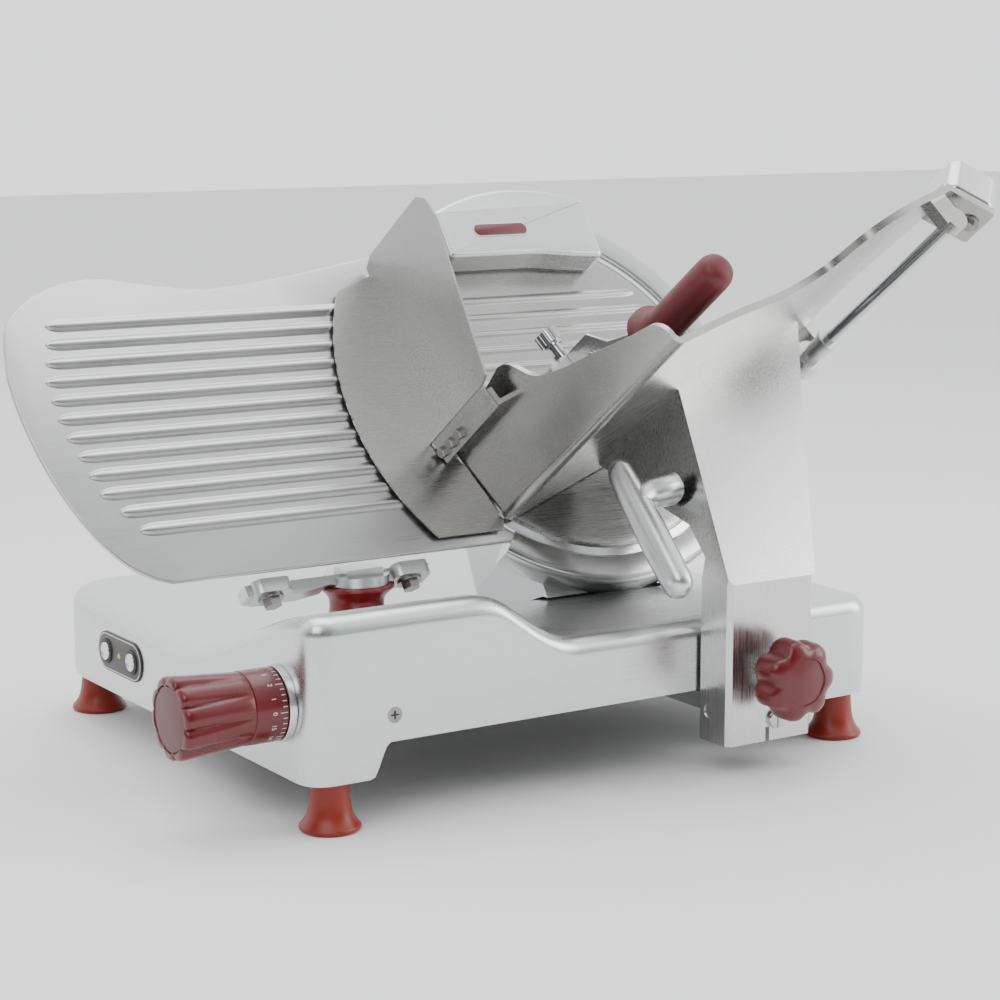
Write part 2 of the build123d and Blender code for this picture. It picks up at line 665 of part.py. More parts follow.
with BuildPart() as motor:
    with BuildSketch(blade_plane.offset(-86)):
        with Locations((0, -pulley_drop)):
            Circle(motor_r)
            with PolarLocations(motor_r + 1.5, 24):
                Circle(3, mode=Mode.SUBTRACT)
    extrude(amount=motor_length)
    with BuildSketch(blade_plane.offset(-87)):
        with Locations((0, -pulley_drop)):
            Circle(motor_shaft_r + running)
    extrude(amount=40, mode=Mode.SUBTRACT)
    # straps to the head's side walls
    with BuildSketch(blade_plane.offset(-62)):
        with Locations((-motor_r - 13, -pulley_drop), (motor_r + 13, -pulley_drop)):
            Rectangle(28, 20)
    extrude(amount=8)
finish(motor.part, "motor")

motor_axis_plane = Plane(origin=blade_frame(0, -pulley_drop, 0), x_dir=(1, 0, 0), z_dir=across)
with BuildPart() as motor_pulley:
    with BuildSketch(motor_axis_plane.offset(-108)):
        Circle(motor_shaft_r)
    extrude(amount=58)
    with BuildSketch(motor_axis_plane.offset(-104)):
        Circle(motor_pulley_r)
    extrude(amount=pulley_w)
    with BuildSketch(motor_axis_plane.offset(-92)):
        Circle(motor_pulley_r - 4)
    extrude(amount=4)
finish(motor_pulley.part, "motor_pulley")

with BuildPart() as drive_belt:
    with BuildSketch(blade_plane.offset(-103)):
        add(belt_loop(gap + belt_t))
        add(belt_loop(gap), mode=Mode.SUBTRACT)
    extrude(amount=pulley_w - 2)
finish(drive_belt.part, "drive_belt")

with BuildPart() as ring_guard:
    add(ring_sector([(ring_in, 0), (ring_out - 5, 0), (ring_out, -4), (ring_out, -pan_depth),
                     (ring_out - 5, -pan_depth), (ring_out - 5, -7), (ring_in, -7)], ring_from, ring_to))
    add(ring_sector([(housing_r + 16, -pan_depth + 4), (ring_out - 5, -pan_depth + 4),
                     (ring_out - 5, -pan_depth), (housing_r + 16, -pan_depth)], ring_from, ring_to))
    # gap over the sharpener's stones
    with BuildSketch(blade_plane.offset(-pan_depth + 4)):
        with Locations((0, stone_u + 10)):
            Rectangle(90, 70)
    extrude(amount=pan_depth, mode=Mode.SUBTRACT)
    with BuildSketch(blade_plane.offset(-pan_depth - 1)):
        with Locations((stone_x, stone_u), (-stone_x, stone_u)):
            Circle(spindle_r + 1)
    extrude(amount=10, mode=Mode.SUBTRACT)
    # dimple over the fixing near the sharpener
    with BuildSketch(blade_plane.offset(-1.5)):
        with Locations((112, 139)):
            Circle(6)
    extrude(amount=3, mode=Mode.SUBTRACT)
finish(ring_guard.part, "ring_guard")

cover_back = edge_depth - 0.6
with BuildPart() as blade_cover:
    with BuildSketch(blade_plane.offset(-cover_back)):
        Circle(blade_r)
    extrude(amount=cover_back)
    # cut back where the cutting edge is bare
    add(ring_sector([(blade_r - 9, 1), (blade_r + 2, 1), (blade_r + 2, -5), (blade_r - 9, -5)],
                    ring_to, 360 + ring_from), mode=Mode.SUBTRACT)
    with BuildSketch(blade_plane.offset(-cover_back)):
        Circle(22)
    extrude(amount=-2.5)
    with BuildSketch(blade_plane.offset(-8)):
        Circle(tie_r)
    extrude(amount=8 - 1, mode=Mode.SUBTRACT)
    for i in range(6):
        u = rib_top - i * rib_pitch
        reach = sqrt((blade_r - 25) ** 2 - u**2)
        with BuildSketch(blade_plane.offset(-0.6)):
            with Locations((0, u)):
                SlotOverall(2 * reach, rib_width)
        extrude(amount=1.5)
    # finger recess at the lower edge
    with BuildSketch(blade_plane.offset(-1.4)):
        with Locations((22, -138)):
            SlotOverall(44, 26, rotation=10)
    extrude(amount=3, mode=Mode.SUBTRACT)
finish(blade_cover.part, "blade_cover")

lock_plane = blade_plane.offset(-head_back - 4)
with BuildPart() as cover_lock_knob:
    with BuildSketch(lock_plane.offset(-22)):
        Circle(22)
        with PolarLocations(26, 8):
            Circle(6, mode=Mode.SUBTRACT)
    extrude(amount=16)
    with BuildSketch(lock_plane.offset(-6)):
        Circle(12)
    extrude(amount=6 - gap)
    # rod through the shaft to the blade's cover
    with BuildSketch(lock_plane.offset(-10)):
        Circle(tie_r)
    extrude(amount=head_back + 4 + 10 - 1)
finish(cover_lock_knob.part, "cover_lock_knob")

# ================================================================ sharpener
with BuildPart() as sharpener_body:
    with BuildSketch(blade_plane.offset(-pan_depth - 28)):
        with Locations((0, stone_u - 4)):
            RectangleRounded(96, 40, 10)
        with Locations((stone_x, stone_u), (-stone_x, stone_u)):
            Circle(spindle_r + running, mode=Mode.SUBTRACT)
    extrude(amount=28)
finish(sharpener_body.part, "sharpener_body")


def sharpener_outline(inset):
    """Arched outline of the sharpener's cover."""
    x0, x1, r = sharpener_x0 + inset, sharpener_x1 - inset, ring_out + 1 - inset
    low = 124 + inset
    with BuildSketch() as outline:
        with BuildLine():
            left = (x0, sqrt(r**2 - x0**2))
            right = (x1, sqrt(r**2 - x1**2))
            ThreePointArc(left, (0, r), right)
            Polyline(right, (x1, low - 4), (x1 - 34, low - 2), (x1 - 62, low), (x0, low), left)
        make_face()
    return outline.sketch


with BuildPart() as sharpener_cover:
    with BuildSketch(blade_plane.offset(1)):
        add(sharpener_outline(0))
    extrude(amount=sharpener_front - 1)
    fillet(sharpener_cover.faces().sort_by(Axis(blade_centre, across))[-1].edges(), 3)
    with BuildSketch(blade_plane.offset(0)):
        add(sharpener_outline(3))
    extrude(amount=sharpener_front - 3, mode=Mode.SUBTRACT)
    # hinge bead along the top edge
    hinge = blade_plane.from_local_coords((0, ring_out + 2.2, 2.1))
    with BuildSketch(Plane.YZ.offset(blade_x - 12)):
        with Locations((hinge.Y, hinge.Z)):
            Circle(2)
    extrude(amount=24)
finish(sharpener_cover.part, "sharpener_cover")

with BuildPart() as name_badge:
    with BuildSketch(blade_plane.offset(sharpener_front)):
        with Locations((-27, 148)):
            SlotOverall(58, 14)
    extrude(amount=0.8)
finish(name_badge.part, "name_badge")

for stone_name, x, n in (("grinding_stone", stone_x, -17.5), ("truing_stone", -stone_x, 4.0)):
    with BuildPart() as stone:
        with BuildSketch(blade_plane.offset(n)):
            with Locations((x, stone_u)):
                Circle(stone_r)
        extrude(amount=5)
        with BuildSketch(blade_plane.offset(-70)):
            with Locations((x, stone_u)):
                Circle(spindle_r)
        extrude(amount=n + 70)
        # push button on the spindle's rear end
        with BuildSketch(blade_plane.offset(-76)):
            with Locations((x, stone_u)):
                Circle(10)
        extrude(amount=14)
    finish(stone.part, stone_name)

# ================================================================ slice deflector
deflector_x, deflector_n = -hub_r - 24.0, -36.0
with BuildPart() as slice_deflector:
    section = Plane(origin=blade_frame(0, -90, 0), x_dir=(1, 0, 0),
                    z_dir=blade_frame(0, 1, 0) - blade_centre)
    with BuildSketch(section):
        with BuildLine():
            Polyline((deflector_x, -deflector_n), (deflector_x - 26, -deflector_n - 9),
                     (deflector_x - 58, 19), (deflector_x - 68, 19))
            offset(amount=1, side=Side.BOTH)
        make_face()
    extrude(amount=180)
    for u in (-80, -10, 60):
        with BuildSketch(section.offset(90 + u)):
            with Locations((deflector_x, -deflector_n)):
                Circle(5)
                Circle(3 + running, mode=Mode.SUBTRACT)
        extrude(amount=20)
    with BuildSketch(section.offset(-1)):
        with Locations((deflector_x, -deflector_n)):
            Circle(3 + running)
    extrude(amount=190, mode=Mode.SUBTRACT)
finish(slice_deflector.part, "slice_deflector")

with BuildPart() as deflector_pin:
    with BuildSketch(section.offset(-8)):
        with Locations((deflector_x, -deflector_n)):
            Circle(3)
    extrude(amount=196)
    for u in (-8, 182):
        with BuildSketch(section.offset(u)):
            with Locations((deflector_x + 8, (pan_depth - deflector_n + 4) / 2)):
                Rectangle(22, 4 - deflector_n - pan_depth)
        extrude(amount=6)
    add(head_prism(0, head_front, head_back), mode=Mode.SUBTRACT)
finish(deflector_pin.part, "deflector_pin")

# ================================================================ carriage slide
arm_mid = arm_x + arm_w / 2
with BuildPart() as carriage_rail:
    with BuildSketch(Plane.YZ.offset(base_x0 + wall + 4)):
        with Locations((rail_y, rail_z)):
            Circle(rail_r)
    extrude(amount=base_x1 - base_x0 - 2 * wall - 8)
finish(carriage_rail.part, "carriage_rail")

track_y, roller_z, roller_r = rail_y + 40.0, 66.0, 12.0
with BuildPart() as roller_track:
    with BuildSketch(Plane.YZ.offset(base_x0 + wall)):
        with Locations((track_y, roller_z + roller_r + gap + 5)):
            Rectangle(14, 10)
    extrude(amount=base_x1 - base_x0 - 2 * wall)
finish(roller_track.part, "roller_track")

slider_w = arm_w + 4
with BuildPart() as carriage_slider:
    with BuildSketch(Plane.YZ.offset(arm_mid - slider_w / 2)):
        with Locations((rail_y, rail_z)):
            Rectangle(50, 44)
        with Locations((rail_y, rail_z)):
            Circle(rail_r + 3, mode=Mode.SUBTRACT)
    extrude(amount=slider_w)
    # tongue that passes under the near wall, with its upright pad inside the arm
    with BuildSketch(Plane.YZ.offset(arm_mid - tongue_w / 2)):
        with BuildLine():
            Polyline([(rail_y, 46), (pivot_y - 9, 46), (pivot_y - 9, 96), (pivot_y + 6, 96),
                      (pivot_y + 6, 60), (rail_y, 60)], close=True)
        make_face()
        with Locations((pivot_y, pivot_z)):
            Circle(pivot_r + running, mode=Mode.SUBTRACT)
    extrude(amount=tongue_w)
    # ear for the roller
    with BuildSketch(Plane.XY.offset(rail_z - 22)):
        with Locations((arm_mid, track_y - 14)):
            Rectangle(30, 8)
    extrude(amount=20)
    with BuildSketch(Plane.XZ.offset(-track_y + 16)):
        with Locations((arm_mid, roller_z)):
            Circle(4)
    extrude(amount=-26)
finish(carriage_slider.part, "carriage_slider")

with BuildPart() as slider_bushings:
    for x in (arm_mid - slider_w / 2, arm_mid + slider_w / 2 - 22):
        with BuildSketch(Plane.YZ.offset(x)):
            with Locations((rail_y, rail_z)):
                Circle(rail_r + 3)
                Circle(rail_r + running, mode=Mode.SUBTRACT)
        extrude(amount=22)
finish(slider_bushings.part, "slider_bushings")

with BuildPart() as slide_roller:
    with BuildSketch(Plane.XZ.offset(-track_y + 7)):
        with Locations((arm_mid, roller_z)):
            Circle(roller_r)
            Circle(4 + running, mode=Mode.SUBTRACT)
    extrude(amount=-14)
finish(slide_roller.part, "slide_roller")

# ================================================================ carriage arm
face_slope = sin(radians(tilt)) / cos(radians(tilt))      # the upper face lies parallel to the blade


def arm_profile(inset, back):
    """Side view of the arm in Y and Z: upright below, leaning with the blade plane above."""
    y0 = arm_y + inset
    foot = arm_bottom - 5 if inset else arm_bottom
    top = 460.0
    return [
        (y0, foot), (y0, arm_break - inset * 0.3),
        (y0 + (top - arm_break) * face_slope, top), (back + 190, top), (-10 + back, 236 - back),
        (-107 + back, 214 - back), (-168 + back, 200 - back), (arm_y + arm_t + back, 178 - back),
        (arm_y + arm_t + back, foot),
    ]


def arm_front(inset):
    """Front view of the arm in X and Z: it widens to the right towards the tray."""
    return [
        (arm_x + inset, arm_bottom - 6), (arm_x + inset, arm_break), (arm_x + 32 + inset, 340),
        (arm_x + 32 + inset, 460), (arm_x + arm_w + 110 - inset, 460), (arm_x + arm_w + 92 - inset, 352),
        (arm_x + arm_w + 62 - inset, 292), (arm_x + arm_w - inset, arm_break),
        (arm_x + arm_w - inset, arm_bottom - 6),
    ]


def arm_solid(inset, back):
    """The arm's outline from the side, trimmed to its outline from the front."""
    with BuildPart() as solid:
        with BuildSketch(Plane.YZ.offset(arm_x - 60)):
            with BuildLine():
                Polyline(arm_profile(inset, back), close=True)
            make_face()
        extrude(amount=400)
        with BuildSketch(Plane.XZ.offset(400)):
            with BuildLine():
                Polyline(arm_front(inset), close=True)
            make_face()
        extrude(amount=-900, mode=Mode.INTERSECT)
    return solid.part


with BuildPart() as carriage_arm:
    add(arm_solid(0, 0))
    upright = carriage_arm.edges().filter_by(Axis.Z).filter_by_position(Axis.Y, arm_y - 1, arm_y + 1)
    chamfer(upright, 4)
    add(arm_solid(arm_wall, 30), mode=Mode.SUBTRACT)
    # everything above the tray's underside
    with BuildSketch(trough_plane.offset(-100)):
        with Locations((300, 200)):
            Rectangle(1200, 400)
    extrude(amount=500, mode=Mode.SUBTRACT)
    # the right flank stays shallow
    with BuildSketch(Plane.YZ.offset(arm_x + arm_w / 2)):
        with BuildLine():
            Polyline([(arm_y + arm_t + 30, 182), (arm_y + arm_t + 30, 210), (60, 470), (260, 470), (260, 182)],
                     close=True)
        make_face()
    extrude(amount=300, mode=Mode.SUBTRACT)
    with BuildSketch(Plane.YZ.offset(arm_x - 1)):
        with Locations((pivot_y, pivot_z)):
            Circle(pivot_r)
    extrude(amount=arm_w + 2, mode=Mode.SUBTRACT)
    # slot at the foot, screw seats and the clamp stud's hole
    with BuildSketch(Plane.XZ.offset(-arm_y + 1)):
        with Locations((arm_mid - 3, arm_bottom + 5)):
            Rectangle(4, 14)
        with Locations((clamp_x, clamp_z)):
            Circle(clamp_r)
    extrude(amount=-(arm_wall + 2), mode=Mode.SUBTRACT)
    with BuildSketch(Plane.XZ.offset(-arm_y + 1)):
        with Locations((arm_mid + 5, arm_bottom + 18)):
            Circle(4)
    extrude(amount=-(arm_wall + 2), mode=Mode.SUBTRACT)
finish(carriage_arm.part, "carriage_arm")

with BuildPart() as pivot_pin:
    with BuildSketch(Plane.YZ.offset(arm_x + 1)):
        with Locations((pivot_y, pivot_z)):
            Circle(pivot_r)
    extrude(amount=arm_w - 2)
finish(pivot_pin.part, "pivot_pin")

with BuildPart() as arm_screw:
    face_plane = Plane(origin=(arm_mid + 5, arm_y, arm_bottom + 18), x_dir=(1, 0, 0), z_dir=(0, -1, 0))
    with BuildSketch(face_plane):
        Circle(8)
    extrude(amount=3.5)
    fillet(arm_screw.edges().filter_by(GeomType.CIRCLE).sort_by(Axis.Y)[0], 1.5)
    with BuildSketch(face_plane):
        Circle(4)
    extrude(amount=-arm_wall)
    with BuildSketch(face_plane.offset(2)):
        Rectangle(1.8, 18)
    extrude(amount=4, mode=Mode.SUBTRACT)
finish(arm_screw.part, "arm_screw")

clamp_plane = Plane(origin=(clamp_x, arm_y, clamp_z), x_dir=(1, 0, 0), z_dir=(0, -1, 0))
with BuildPart() as carriage_knob:
    with BuildSketch(clamp_plane.offset(21)):
        Circle(27)
        with PolarLocations(25, 6):
            Circle(9.5)
    extrude(amount=28)
    with BuildSketch(clamp_plane.offset(gap)):
        Circle(10)
    extrude(amount=21)
    # threaded stud through the arm
    with BuildSketch(clamp_plane.offset(-arm_wall - 8.5)):
        Circle(clamp_r - 1)
    extrude(amount=arm_wall + 9)
finish(carriage_knob.part, "carriage_knob")

# push handle: a short arm out of the left flank, carrying a grip
grip_low = Vector(arm_x - 36, -216, 158)
grip_high = Vector(arm_x - 36, -126, 246)
grip_plane = Plane(origin=grip_low, x_dir=(1, 0, 0), z_dir=grip_high - grip_low)
with BuildPart() as push_handle:
    with BuildSketch(grip_plane):
        RectangleRounded(20, 22, 8)
    with BuildSketch(grip_plane.offset((grip_high - grip_low).length)):
        RectangleRounded(26, 26, 9)
    loft()
    with BuildSketch(Plane.YZ.offset(arm_x - 40)):
        with Locations((-150, 226)):
            RectangleRounded(30, 24, 8)
    extrude(amount=46)
finish(push_handle.part, "push_handle")

# ================================================================ product tray
tray_far = blade_clear + tray_depth + 30
with BuildPart() as product_tray:
    # angle of wall and bottom, carried out from the blade
    with BuildSketch(trough_plane.offset(blade_clear)):
        with BuildLine():
            Polyline((0, wall_c_high), (0, 0), (tray_width, 0), (tray_width, tray_t),
                     (wall_c_t, tray_t), (wall_c_t, wall_c_high), close=True)
        make_face()
    extrude(amount=tray_far)
    along = product_tray.edges().filter_by(Axis(trough_origin, across))
    corner = along.sort_by_distance(trough_point(0, 0, 150))[0]
    fillet(corner, 9)
    inner = product_tray.edges().filter_by(Axis(trough_origin, across)).sort_by_distance(
        trough_point(wall_c_t, tray_t, 150))[0]
    fillet(inner, 4)
    # top edge of the wall, high beside the blade and low outside
    wall_plane = Plane(origin=trough_origin, x_dir=across, z_dir=trough_dir)
    up = wall_plane.to_local_coords(trough_point(0, 1, 0)).Y
    with BuildSketch(wall_plane.offset(-1)):
        with BuildLine():
            Spline((0, up * (wall_c_high - 18)), (112, up * wall_c_high))
            Spline((112, up * wall_c_high), (140, up * 72), (164, up * 59), (212, up * 46),
                   (260, up * 33), (282, up * 28), tangents=[(1, 0), (1, -0.25 * up)])
            ThreePointArc((282, up * 28), (292, up * 22), (296, up * 9))
            Polyline((296, up * 9), (296, up * 6), (420, up * 6), (420, up * 140), (0, up * 140),
                     (0, up * (wall_c_high - 18)))
        make_face()
    extrude(amount=wall_c_t + 1 + 4, mode=Mode.SUBTRACT)
    # outer edge of the bottom, with its step out to the far corner
    floor_plane = Plane(origin=trough_origin, x_dir=trough_dir, z_dir=trough_point(0, 1, 0) - trough_origin)
    out = floor_plane.to_local_coords(trough_point(0, 0, 1)).Y
    with BuildSketch(floor_plane.offset(-1)):
        with BuildLine():
            Line((-20, out * 296), (0, out * 296))
            Spline((0, out * 296), (100, out * 279), (190, out * 261), (216, out * 270), (236, out * 304),
                   (262, out * 318), (tray_width, out * 314), tangents=[(1, -0.12 * out), (1, -0.05 * out)])
            Polyline((tray_width, out * 314), (tray_width + 20, out * 314), (tray_width + 20, out * 420),
                     (-20, out * 420), (-20, out * 296))
        make_face()
    extrude(amount=tray_t + 2, mode=Mode.SUBTRACT)
    # waist on the right edge
    with BuildSketch(floor_plane.offset(-1)):
        with BuildLine():
            Line((tray_width + 1, out * 262), (tray_width + 1, out * 30))
            Line((tray_width + 1, out * 30), (tray_width - 4, out * 30))
            Spline((tray_width - 4, out * 30), (tray_width - 24, out * 130), (tray_width + 1, out * 262),
                   tangents=[(-0.3, out), (0.6, out)])
        make_face()
    extrude(amount=tray_t + 2, mode=Mode.SUBTRACT)
    # tab turned down at the far corner
    tab_dir = trough_point(cos(radians(tab_turn)), -sin(radians(tab_turn)), 0) - trough_origin
    tab_root = trough_point(tray_width, tray_t, 0)
    tab_plane = Plane(origin=tab_root, x_dir=tab_dir, z_dir=tab_dir.cross(across) * -1)
    side = tab_plane.to_local_coords(tab_root + across).Y
    with BuildSketch(tab_plane.offset(-tray_t)):
        with Locations((tab_l / 2 - 2, side * 292)):
            RectangleRounded(tab_l + 4, 43, 3)
    extrude(amount=tray_t)
    # lugs for the pusher rod
    for n in (rod_n0 - 10, rod_n1 - 2):
        with BuildSketch(trough_plane.offset(n)):
            with Locations((rod_s - 4, rod_h / 2 + 1)):
                Rectangle(20, -rod_h + 2)
            with Locations((rod_s, rod_h)):
                Circle(10)
        extrude(amount=12)
    with BuildSketch(trough_plane.offset(rod_n0 - 4)):
        with Locations((rod_s, rod_h)):
            Circle(rod_r)
    extrude(amount=rod_n1 - rod_n0 + 8, mode=Mode.SUBTRACT)
    # flange along the wall's top that carries the hand guard
    with BuildSketch(trough_plane.offset(blade_clear + 2)):
        with Locations((-7, wall_c_high - 24)):
            Rectangle(14, 4)
        with Locations((-13, wall_c_high - 18)):
            Rectangle(4, 16)
    extrude(amount=100)
    lip_plane = Plane(origin=trough_origin, x_dir=across, z_dir=trough_dir)
    with BuildSketch(lip_plane.offset(-10)):
        with Locations(*[(n, up * (wall_c_high - 18)) for n in (14, 30, 46)]):
            Circle(2.5)
    extrude(amount=-6, mode=Mode.SUBTRACT)
    # holes for the corner block's bolts
    with BuildSketch(tab_plane.offset(-tray_t - 1)):
        with Locations((13, side * 292), (36, side * 292)):
            Circle(3)
    extrude(amount=tray_t + 2, mode=Mode.SUBTRACT)
finish(product_tray.part, "product_tray")

with BuildPart() as pusher_rod:
    with BuildSketch(trough_plane.offset(rod_n0 - 4)):
        with Locations((rod_s, rod_h)):
            Circle(rod_r)
    extrude(amount=rod_n1 - rod_n0 + 8)
finish(pusher_rod.part, "pusher_rod")

with BuildPart() as corner_block:
    with BuildSketch(tab_plane.offset(0.02)):
        with Locations((tab_l / 2 + 1, side * 292)):
            Rectangle(tab_l - 1, 44)
    extrude(amount=36)
    fillet(corner_block.edges().filter_by(Axis(tab_root, tab_plane.z_dir)), 10)
    fillet(corner_block.faces().sort_by(Axis(tab_root, tab_plane.z_dir))[-1].edges(), 5)
finish(corner_block.part, "corner_block")

with BuildPart() as tray_bolts:
    for t in (13, 36):
        seat = Plane(origin=tab_plane.from_local_coords(Vector(t, side * 292, -tray_t)), x_dir=tab_dir,
                     z_dir=tab_plane.z_dir * -1)
        add(hex_bolt(seat, 5.5, 4, 3, tray_t, 9, 1.6))
    for n in (14, 30, 46):
        seat = Plane(origin=trough_point(lip_s, wall_c_high - 18, n), x_dir=across, z_dir=trough_dir * -1)
        add(hex_bolt(seat, 5, 4.5, 2.5, 4.9))
finish(tray_bolts.part, "tray_bolts")

# ================================================================ hand guard
guard_plane = Plane(origin=blade_frame(fold_x - guard_t, 0, 0), x_dir=blade_frame(0, 1, 0) - blade_centre,
                    z_dir=(1, 0, 0))
with BuildPart() as hand_guard:
    # shield over the gauge plate
    with BuildSketch(blade_plane.offset(guard_n)):
        with BuildLine():
            ThreePointArc((-196, 108), (-shield_r, -2), (-181, -132))
            Polyline((-181, -132), (-118, -132), (-114, -124), (-132, -70), (fold_x, fence_low + 4),
                     (fold_x, 122), (-196, 108))
        make_face()
    extrude(amount=guard_t)
    # fence turned up along its right edge
    with BuildSketch(guard_plane):
        with BuildLine():
            Polyline((fence_low, guard_n), (fence_high - 6, guard_n), (fence_high, 16),
                     (fence_high - 2, fence_w - 12), (fence_high - 12, fence_w),
                     (fence_high - 30, fence_w + 3), (fence_low + 4, fence_w - 6),
                     (fence_low, fence_w - 16), close=True)
        make_face()
    extrude(amount=guard_t)
    # lip under the fence, against the tray's flange
    with BuildSketch(trough_plane.offset(guard_n + 4)):
        with Locations((lip_s + 1.1, wall_c_high - 14.5)):
            Rectangle(2.2, 25)
    extrude(amount=96)
    with BuildSketch(lip_plane):
        with Locations(*[(n, up * (wall_c_high - 18)) for n in (14, 30, 46)]):
            Circle(2.5)
    extrude(amount=-24, mode=Mode.SUBTRACT)
finish(hand_guard.part, "hand_guard")

# ================================================================ pusher
with BuildPart() as rod_sleeve:
    with BuildSketch(trough_plane.offset(sleeve_n)):
        with Locations((rod_s, rod_h)):
            Circle(sleeve_r)
    extrude(amount=sleeve_l)
    for n in (sleeve_n - 4, sleeve_n + sleeve_l):
        with BuildSketch(trough_plane.offset(n)):
            with Locations((rod_s, rod_h)):
                Circle(sleeve_r + 1.5)
        extrude(amount=4)
    with BuildSketch(trough_plane.offset(sleeve_n - 5)):
        with Locations((rod_s, rod_h)):
            Circle(rod_r + running)
    extrude(amount=sleeve_l + 10, mode=Mode.SUBTRACT)
finish(rod_sleeve.part, "rod_sleeve")

with BuildPart() as pusher_arm:
    # yoke round the sleeve, link round the tray's edge and crossbar over the tray
    with BuildSketch(trough_plane.offset(link_n)):
        with Locations((rod_s, rod_h)):
            Circle(sleeve_r + 6)
        with BuildLine():
            Polyline((rod_s + sleeve_r + 2, rod_h - 8), (tray_width + 14, rod_h - 4), (tray_width + 14, 34),
                     (bar_s - 8, 34), (bar_s - 8, 22), (tray_width + 3, 22), (tray_width + 3, rod_h + 8),
                     (rod_s + sleeve_r + 2, rod_h + 6), close=True)
        make_face()
        with Locations((rod_s, rod_h)):
            Circle(sleeve_r + running, mode=Mode.SUBTRACT)
    extrude(amount=18)
    # post up to the clamp, and the stem along to the plate
    with BuildSketch(trough_plane.offset(link_n + 2)):
        with Locations((bar_s, 50)):
            Rectangle(14, 40)
    extrude(amount=14)
    with BuildSketch(trough_plane.offset(12)):
        with Locations((bar_s, 30)):
            RectangleRounded(16, 16, 3)
    extrude(amount=link_n - 10)
    # clamp
    with BuildSketch(trough_plane.offset(link_n + 2)):
        with Locations((bar_s, 77)):
            RectangleRounded(24, 14, 3)
    extrude(amount=22)
    with BuildSketch(trough_plane.offset(link_n + 8)):
        with Locations((bar_s - 18, 76)):
            Circle(7)
    extrude(amount=16)
finish(pusher_arm.part, "pusher_arm")

with BuildPart() as pusher_plate:
    with BuildSketch(trough_plane.offset(9)):
        with Locations((112, 40)):
            RectangleRounded(170, 62, 14)
        with Locations((60, 40), (150, 40)):
            SlotOverall(40, 16, mode=Mode.SUBTRACT)
    extrude(amount=3)
    # teeth that hold the end of the product
    with BuildSketch(trough_plane.offset(9)):
        with Locations((112, 40)):
            with GridLocations(17, 44, 9, 2):
                Circle(2.2)
    extrude(amount=-3.5, taper=25)
finish(pusher_plate.part, "pusher_plate")

screw_plane = Plane(origin=trough_point(bar_s, 84, link_n + 17), x_dir=trough_dir,
                    z_dir=trough_point(0, 1, 0) - trough_origin)
with BuildPart() as thumb_screw:
    for low, high, r in ((0.02, 5, 7), (5, 13, 5), (13, 16, 8), (16, 27, 11)):
        with BuildSketch(screw_plane.offset(low)):
            Circle(r)
        extrude(amount=high - low)
    with BuildSketch(screw_plane.offset(15)):
        with PolarLocations(11.6, 16):
            Circle(1.3)
    extrude(amount=14, mode=Mode.SUBTRACT)
finish(thumb_screw.part, "thumb_screw")

bar_plane = Plane(origin=trough_point(bar_s - 1.5, 0, 0), x_dir=across, z_dir=trough_dir)
with BuildPart() as grip_bar:
    with BuildSketch(bar_plane):
        with BuildLine():
            Polyline((link_n + 24, up * 84), (link_n + 24, up * 46), (link_n + 66, up * 46),
                     (grip_n, up * 34), (grip_n, up * 46), (link_n + 74, up * 66), (link_n + 58, up * 84),
                     close=True)
        make_face()
    extrude(amount=3)
    # pin through its shoulder
    with BuildSketch(bar_plane.offset(-5)):
        with Locations((link_n + 52, up * 66)):
            Circle(4)
    extrude(amount=13)
finish(grip_bar.part, "grip_bar")

with BuildPart() as pusher_grip:
    with BuildSketch(trough_plane.offset(grip_n)):
        with Locations((grip_s, grip_h)):
            Circle(25)
        with Locations((grip_s + 8, grip_h - 17)):
            Rectangle(22, 26)
    extrude(amount=10)
    with BuildSketch(trough_plane.offset(grip_n)):
        with Locations((grip_s, grip_h)):
            Circle(grip_r)
    extrude(amount=grip_l)
    tip = pusher_grip.faces().sort_by(Axis(trough_origin, across))[-1]
    fillet(tip.edges(), 12)
finish(pusher_grip.part, "pusher_grip")
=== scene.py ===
"""Visible model of a deli slicer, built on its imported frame.

Lengths in the classes are millimetres; meshes are written in metres in the frame's own axes.
+X is the carriage travel towards the rear, +Y points to the receiving side, +Z is up.
"""

import json
import logging
import math
from dataclasses import dataclass, field
from enum import Enum
from typing import Callable, Iterable, Sequence

